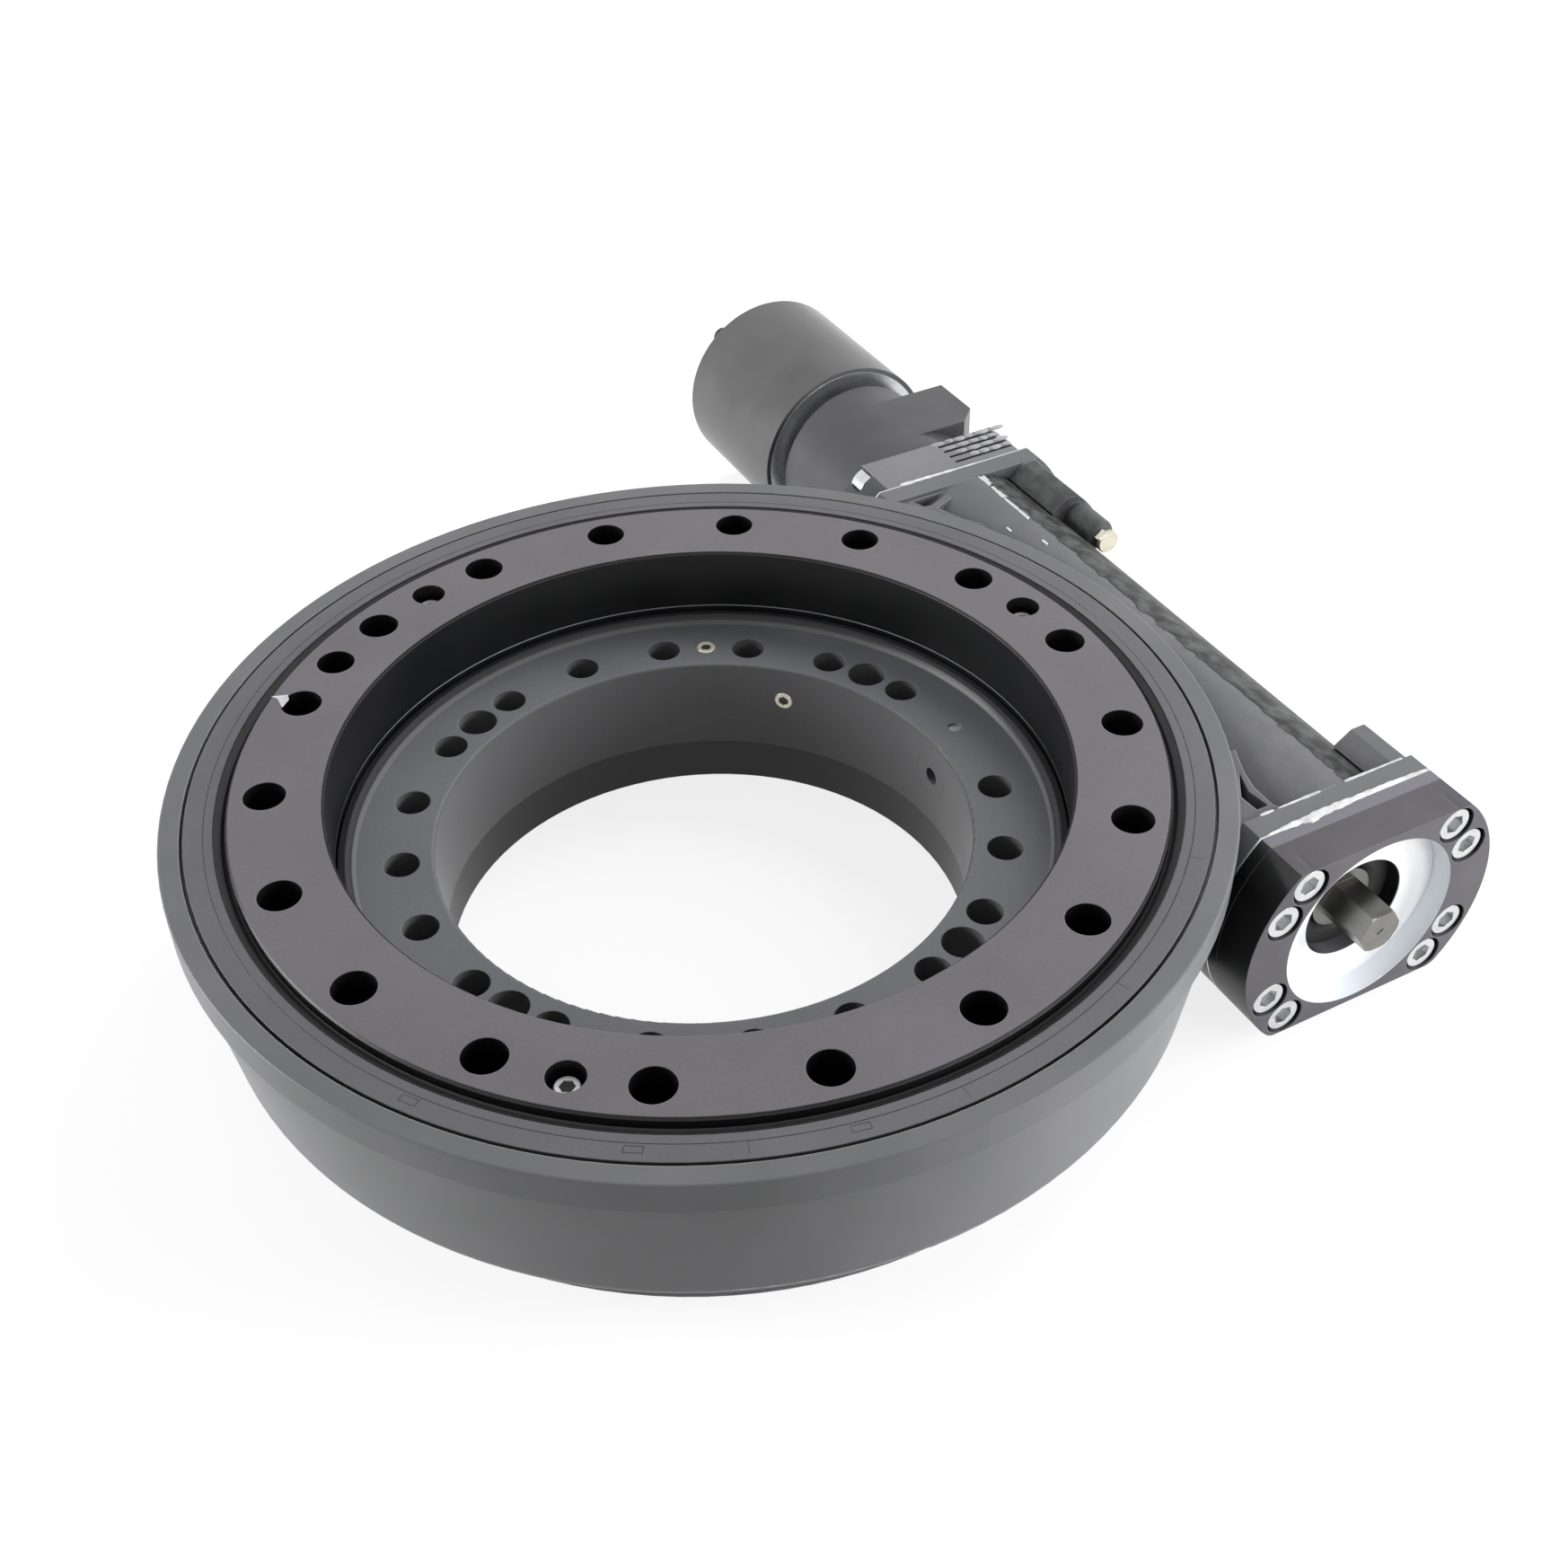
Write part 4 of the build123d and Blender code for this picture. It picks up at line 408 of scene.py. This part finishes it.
# ---------------------------------------------------------------- shapes
def add_piece(name, points, faces, material, body="housing", smooth=True):
    """Mesh object from arrays of points in metres and faces, on a CAD body."""
    mesh = bpy.data.meshes.new(name)
    mesh.from_pydata(points.reshape(-1, 3).tolist(), [], faces.tolist())
    mesh.polygons.foreach_set("use_smooth", [smooth] * len(mesh.polygons))
    mesh.materials.append(material)
    mesh.update()
    thing = bpy.data.objects.new(name, mesh)
    bpy.context.scene.collection.objects.link(thing)
    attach(thing, body)
    return thing


def grid_faces(rows, columns, closed=True, copies=1):
    """Quads of a grid of rows by columns; closed joins the last column to the first. Several
    copies of the grid follow each other in the points."""
    across = columns if closed else columns - 1
    row, column = np.meshgrid(np.arange(rows - 1), np.arange(across), indexing="ij")
    after = (column + 1) % columns
    quads = np.stack([row * columns + column, row * columns + after,
                      (row + 1) * columns + after, (row + 1) * columns + column], axis=-1)
    start = np.arange(copies) * rows * columns
    return (quads.reshape(1, -1, 4) + start[:, None, None]).reshape(-1, 4)


def ring_point(radius, angle, height):
    """Point in metres at a radius and height in mm and an angle in degrees about the ring's axis."""
    return (radius * MM * np.cos(radians(angle)), radius * MM * np.sin(radians(angle)), height * MM)


def waves(along, seed, *lengths):
    """Sum of sines of the given wave lengths, from -1 to 1, with phases from the seed."""
    phases = np.random.default_rng(seed).uniform(0, 2 * pi, len(lengths))
    total = sum(np.sin(2 * pi * along / length + phase) for length, phase in zip(lengths, phases))
    return total / len(lengths)


def bead(name, path, width, height, material, seed, up=(0, 0, 1), wobble=0.3, body="housing"):
    """Bead along a path of points on a flat face. Its section at every station is an ellipse
    of that station's width and twice its height, squared to the path and sunk to its middle
    in the face, and both swell and thin by a few sines along the path. width and height are
    lists of values in mm at even steps along the path."""
    count, sides = max(160, 2 * len(path)), 14
    path = np.array(path, float)
    steps = np.concatenate([[0], np.cumsum(np.linalg.norm(np.diff(path, axis=0), axis=1))])
    along = np.linspace(0, steps[-1], count)
    centre = np.stack([np.interp(along, steps, path[:, axis]) for axis in range(3)], axis=1)
    even = np.linspace(0, 1, count)
    swell = 1 + wobble * waves(along, seed, 0.031, 0.013, 0.0057)
    ends = np.sqrt(np.clip(1 - np.abs(2 * even - 1) ** 24, 0, 1))
    half = np.interp(even, np.linspace(0, 1, len(width)), width) * MM / 2 * swell * ends
    tall = np.interp(even, np.linspace(0, 1, len(height)), height) * MM * (0.6 + 0.4 * swell) * ends
    up = np.array(up, float)
    forward = np.gradient(centre, axis=0)
    forward /= np.linalg.norm(forward, axis=1)[:, None]
    across = np.cross(forward, up)
    turn = np.linspace(0, 2 * pi, sides, endpoint=False)
    points = (centre[:, None] + across[:, None] * (np.cos(turn)[None, :, None] * half[:, None, None])
              + up * (np.sin(turn)[None, :, None] * tall[:, None, None]))
    return add_piece(name, points, grid_faces(count, sides)[:, ::-1], material, body)


def flange_highlight(neighbour, first, last, width, height, seed):
    """White bead along the inner edge of the cap's flange, between two places across: a painted highlight
    where the flange's fillet catches the light.
    """
    bead("flange_highlight_by_" + neighbour, [(FLANGE_EDGE, first, FLANGE_TOP), (FLANGE_EDGE, last, FLANGE_TOP)],
         width, height, white_fleck_and_highlight, seed)


def crest_highlight_flakes(name, start, end, across, reach, count, seed):
    """Bright metal slivers on the tunnel's round top, a painted highlight where its crest
    catches the light, from start to end along X and across beyond its highest line, in mm:
    a strip of facets. Each of count stations has five points on a low roof, every point is
    moved at random by up to reach, and a copy 3 mm lower closes it."""
    columns, roof = 5, 0.7 * MM
    along = np.linspace(start, end, count) * MM
    beyond = across * MM
    top_height = WORM[1] + (TUNNEL_RADIUS ** 2 - beyond ** 2) ** 0.5
    line = np.stack([along, np.full(count, WORM[0] + beyond), np.full(count, top_height)], axis=1)
    draw = np.random.default_rng(seed)
    sideways = np.linspace(-1, 1, columns)
    points = np.repeat(line[:, None], columns, axis=1)
    points[..., 1] += sideways * reach * MM * draw.uniform(0.5, 1.0, (count, 1))
    points[..., 2] += (1 - sideways ** 2) * roof * draw.uniform(0.3, 1.0, (count, columns))
    points[..., 0] += draw.uniform(-1, 1, (count, columns)) * reach * MM * 0.4
    top = points.reshape(-1, 3)
    faces = grid_faces(count, columns, closed=False)
    below = len(top)
    border = np.concatenate([np.arange(columns), np.arange(2, count) * columns - 1,
                             np.arange(count * columns - 1, (count - 1) * columns - 1, -1),
                             np.arange(count - 2, 0, -1) * columns])
    after = np.roll(border, -1)
    walls = np.stack([border, border + below, after + below, after], axis=1)
    add_piece(name, np.concatenate([top, top - [0, 0, 3 * MM]]),
              np.concatenate([faces[:, ::-1], faces + below, walls]), crest_highlight, smooth=False)


def pebbled_ribs(name, rows, material, seed):
    """Row of flattened drops on every rib of the adaptor's free corner. Each drop is an
    ellipsoid given by latitude and longitude, longest across the drive, and sunk to its
    middle in the rib. rows are (place along the worm, first edge, last edge) in mm."""
    draw = np.random.default_rng(seed)
    centres, sizes = [], []
    for along, first, last in rows:
        across = first
        while across < last:
            half = draw.uniform(2.2, 4.6)
            centres.append((along + draw.uniform(-0.3, 0.3), across + half, FLANGE_TOP / MM - 0.15))
            sizes.append((draw.uniform(1.6, 2.1), half, draw.uniform(0.5, 1.0)))
            across += 2 * half + draw.uniform(0.0, 0.8)
    belts, sides = 9, 16
    tilt, turn = np.meshgrid(np.linspace(-pi / 2, pi / 2, belts),
                             np.linspace(0, 2 * pi, sides, endpoint=False), indexing="ij")
    ball = np.stack([np.cos(tilt) * np.cos(turn), np.cos(tilt) * np.sin(turn), np.sin(tilt)], axis=-1)
    points = (np.array(centres)[:, None] + ball.reshape(1, -1, 3) * np.array(sizes)[:, None]) * MM
    return add_piece(name, points, grid_faces(belts, sides, copies=len(centres)), material)


def chip(name, outline, lift, material, body):
    """Thin chip on a flat face. A point is centre + s (edge - centre), with s from 0 to 1,
    and stands lift (1.15 - s squared) above the face; the same points, a lift below the
    face, close it."""
    corners = np.array(outline, float)
    closed = np.concatenate([corners, corners[:1]])
    steps = np.linspace(0, len(corners), 40, endpoint=False)
    rim = np.stack([np.interp(steps, np.arange(len(closed)), closed[:, axis]) for axis in range(3)], axis=1)
    centre = rim.mean(axis=0)
    shares = np.array([0.0, 0.35, 0.7, 0.9, 1.0])
    points = centre + shares[:, None, None] * (rim - centre)
    points[..., 2] += lift * (1.15 - shares[:, None] ** 2)
    low = points[::-1].copy()
    low[..., 2] = centre[2] - lift
    faces = grid_faces(2 * len(shares), len(steps))
    return add_piece(name, np.concatenate([points, low]), faces, material, body)


def turned(rings, place, outward):
    """Points in metres of a closed profile turned about an axis that points outward from
    place. rings are (radius, height) in mm; a radius may differ with the angle."""
    turn = np.linspace(0, 2 * pi, SCREW_SIDES, endpoint=False)
    points = np.array([np.stack([size * np.cos(turn), size * np.sin(turn),
                                 np.full(SCREW_SIDES, height)], axis=1) for size, height in rings])
    outward = np.array(outward, float)
    side = np.cross((0, 0, 1) if abs(outward[2]) < 0.9 else (1, 0, 0), outward)
    return points * MM @ np.array([side, np.cross(outward, side), outward]) + np.array(place)


def socket_screws(name, screws, head, flats, metal, body):
    """Screws or fittings with a hexagon socket, and a second piece, a dark filling in their
    sockets that stands in for the shade in them: painted shade. Each is a profile turned
    about its axis. The socket's radius is half its width over flats / cos(angle from the
    nearest flat). screws are (place in metres, outward, height of the head and of the foot
    above the place in mm)."""
    turn = np.linspace(0, 2 * pi, SCREW_SIDES, endpoint=False)
    hexagon = flats / 2 / np.cos((turn + pi / 6) % (pi / 3) - pi / 6)
    bodies, socket_shades = [], []
    for place, outward, top, foot in screws:
        bodies.append(turned([(0, foot), (head, foot), (head, top - 0.5), (head - 0.4, top),
                              (hexagon * 1.05, top), (hexagon, top - 0.2), (hexagon, top - 2.5),
                              (0, top - 3)], place, outward))
        # Dark filling in each socket, in carbon: painted shade.
        socket_shades.append(turned([(0, top - 2.8), (hexagon * 0.98, top - 2.4),
                               (hexagon * 0.98, top - 0.8), (0, top - 0.9)], place, outward))
    made = [add_piece(label, np.array(group), grid_faces(len(group[0]), SCREW_SIDES, copies=len(group)),
                      material, body, smooth=False)
            for label, group, material in ((name, bodies, metal), (name + "_socket_shade", socket_shades, carbon))]
    return made[0]


# ---------------------------------------------------------------- sealant, painted highlights and trim
bead("cap_joint_sealant",
     [(0.1520, 0.1815, FLANGE_TOP), (0.1512, 0.2400, FLANGE_TOP), (0.1516, 0.2670, FLANGE_TOP)],
     [0.8, 2.2, 3.6, 4.2, 3.4, 3.0, 2.6, 2.2, 2.0, 1.4], [0.3, 0.5, 0.7, 0.7, 0.6, 0.5, 0.4, 0.3],
     sealant, 3)
bead("cap_joint_drip", [(0.1528, 0.1985, FLANGE_TOP), (0.1536, 0.2065, FLANGE_TOP)],
     [1.6, 3.2, 2.0], [0.5, 0.8, 0.4], sealant, 5)
bead("adaptor_joint_sealant",
     [(-0.1530, 0.1905, FLANGE_TOP), (-0.1524, 0.2360, FLANGE_TOP), (-0.1524, 0.2420, FLANGE_TOP)],
     [2.6, 2.4, 2.0, 1.6, 1.2, 0.8, 0.4], [0.6, 0.5, 0.4, 0.3, 0.2], sealant, 8)
# Painted highlights: white beads along the cap flange's inner edge, by the boss, the tunnel and the pocket.
flange_highlight("boss", 0.2310, 0.2625, [1.8, 1.2, 1.4, 0.8, 1.6], [0.35, 0.3], 11)
flange_highlight("tunnel", 0.1960, 0.2185, [0.8, 1.0, 1.5, 1.2], [0.3, 0.3], 13)

# Bright slivers along the tunnel's crest: painted highlight.
crest_highlight_flakes("crest_highlight_wide", -140.0, -131.0, 8.5, 2.6, 5, 21)
crest_highlight_flakes("crest_highlight_middle", -129.0, -117.0, 8.0, 1.9, 7, 22)
crest_highlight_flakes("crest_highlight_thin", -116.0, -94.0, 7.6, 1.3, 14, 24)
crest_highlight_flakes("crest_speck_near", -92.5, -88.5, -6.5, 0.9, 4, 25)
crest_highlight_flakes("crest_speck_far", -74.0, -69.0, 2.0, 0.9, 4, 26)
pebbled_ribs("pebbled_adaptor_ribs",
             [(-178.1, 224, 261), (-172.6, 228, 261), (-167.0, 233, 261), (-161.4, 238, 261)],
             pebbled_coat, 31)
flange_highlight("pocket", 0.1865, 0.1935, [1.2, 1.8, 1.2], [0.3, 0.3], 14)

# Each jack hole's angle, and how deep the screw's head and the hole's floor lie in it.
jack_holes = ((98.25, 6.4, 21.0), (198.25, 6.4, 36.0), (318.25, 5.3, 14.5))
jacks = socket_screws("jack_screws", [(ring_point(HOLE_CIRCLE, angle, RING_TOP), (0, 0, 1), -depth, -floor)
                                      for angle, depth, floor in jack_holes],
                      5.1, 5.4, milky_zinc, "ring")
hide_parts("jack_plugs")
inward = (-np.cos(radians(BORE_NIPPLE)), -np.sin(radians(BORE_NIPPLE)), 0)
nipples = socket_screws("flush_grease_nipples",
                        [(ring_point(131, 153, INNER_FACE), (0, 0, 1), 0.7, -6),
                         (ring_point(INNER_BORE, BORE_NIPPLE, 50.6), inward, 0.6, -6)],
                        4.5, 4.6, milky_nickel, "housing")
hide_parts("grease_nipples")

# A thin white fleck on the ring's top beside a hole.
chip_corners = ((-0.1330, -0.1463), (-0.1300, -0.1444), (-0.1227, -0.1446), (-0.1269, -0.1402),
                (-0.1306, -0.1395))
chip("white_fleck_by_hole", [(*corner, RING_TOP * MM) for corner in chip_corners], 0.12 * MM, white_fleck_and_highlight,
     "ring")
bead("cover_lip_joint", [ring_point(COVER_LIP, angle, COVER_TOP) for angle in range(90, 451, 2)],
     [0.45], [0.05], oily_line, 40, wobble=0.15)
for angle in (-56.0, -32.9, -11.1):
    inner, outer = CLIP_SPAN
    corners = ((inner, -0.95), (inner, 0.95), (outer, 0.95), (outer, -0.95), (inner, -0.95))
    outline = [ring_point(radius, angle + off, COVER_TOP) for radius, off in corners]
    bead("cover_clip_%d" % (angle % 360), outline, [0.35], [0.05], oily_line, 41)
for angle in (-22.0, 0.0, 22.0, 44.0):
    outline = [ring_point(radius, angle, COVER_TOP) for radius in COVER_SPAN]
    bead("cover_joint_%d" % (angle % 360), outline, [0.3], [0.04], oily_line, 42)
bead("hexagon_stamp", [(HEXAGON_END, WORM[0] - 1.4 * MM, WORM[1] - 0.8 * MM),
                       (HEXAGON_END, WORM[0] + 1.6 * MM, WORM[1] + 1.2 * MM)],
     [1.3], [0.06], oily_line, 43, up=(1, 0, 0), wobble=0.1, body="worm")


# ---------------------------------------------------------------- camera, light and floor
def aim_camera():
    """Camera above the near left side of the drive, by heading, pitch and roll in degrees."""
    heading, pitch, roll = 152.413, -40.010, -1.2097
    data = bpy.data.cameras.new("camera")
    data.sensor_width = 36
    data.lens = 45.76
    data.clip_end = 50
    camera = bpy.data.objects.new("camera", data)
    turn = Euler((radians(90 + pitch), 0, radians(heading - 90))).to_matrix()
    camera.matrix_world = (turn @ Euler((0, 0, radians(roll))).to_matrix()).to_4x4()
    camera.location = (0.596723, -0.272051, 0.640794)
    bpy.context.scene.collection.objects.link(camera)
    bpy.context.scene.camera = camera


def soft_light(name, place, target, size, power, mirrored=True):
    """Square area lamp at place that faces target. A lamp that isn't mirrored adds light but
    no glare on flat tops."""
    data = bpy.data.lights.new(name, "AREA")
    data.shape = "SQUARE"
    data.size = size
    data.energy = power
    lamp = bpy.data.objects.new(name, data)
    lamp.location = place
    lamp.visible_glossy = mirrored
    lamp.rotation_euler = (Vector(target) - Vector(place)).to_track_quat("-Z", "Y").to_euler()
    bpy.context.scene.collection.objects.link(lamp)


def seen_rays(tree):
    """1 for the rays that show the background: camera, gloss and glass."""
    path = add(tree, "LightPath").outputs
    mirrored = add(tree, "Math", (path["Is Glossy Ray"], path["Is Transmission Ray"]), operation="MAXIMUM")
    return add(tree, "Math", (path["Is Camera Ray"], mirrored), operation="MAXIMUM")


def pale_floor():
    """White floor under the drive. It glows a little for the rays that show it, and fully
    from 2.2 m out, beyond the drive's shadow."""
    half = 6.0
    mesh = bpy.data.meshes.new("floor")
    mesh.from_pydata([(-half, -half, 0), (half, -half, 0), (half, half, 0), (-half, half, 0)], [],
                     [(0, 1, 2, 3)])
    floor = bpy.data.objects.new("floor", mesh)
    bpy.context.scene.collection.objects.link(floor)
    material, tree, place = start_material("white_floor")
    far = add(tree, "MapRange", (axis_radius(tree, place), 0.9, 2.2, 0.8, 1.0))
    strength = add(tree, "Math", (seen_rays(tree), far), operation="MULTIPLY")
    glow = add(tree, "Emission", {"Color": linear("#ffffff"), "Strength": strength})
    matt = add(tree, "BsdfDiffuse", {"Color": linear("#969696")})
    add(tree, "OutputMaterial", {"Surface": add(tree, "AddShader", (matt, glow))})
    mesh.materials.append(material)


def white_world():
    """White surroundings for the rays that show them, and a low even light on the drive."""
    world = bpy.data.worlds.new("studio")
    bpy.context.scene.world = world
    world.use_nodes = True
    tree = world.node_tree
    tree.nodes.clear()
    strength = add(tree, "MapRange", (seen_rays(tree), 0.0, 1.0, 0.28, 1.0))
    sky = add(tree, "Background", {"Color": linear("#ffffff"), "Strength": strength})
    add(tree, "OutputWorld", {"Surface": sky})


aim_camera()
soft_light("far_right", (-0.7, 1.4, 1.4), (0, 0.1, 0.05), 1.2, 26, mirrored=False)
soft_light("near_left", (-1.0, -2.1, 0.5), (0, 0, 0.08), 1.2, 66)
soft_light("near_right", (1.25, 2.2, 0.55), (0.1, 0.1, 0.08), 1.2, 63, mirrored=False)
soft_light("cap_fill", (0.56, 0.33, 0.22), (0.18, 0.22, 0.055), 0.22, 1.1)
pale_floor()
white_world()
bpy.context.scene.view_settings.view_transform = "Standard"
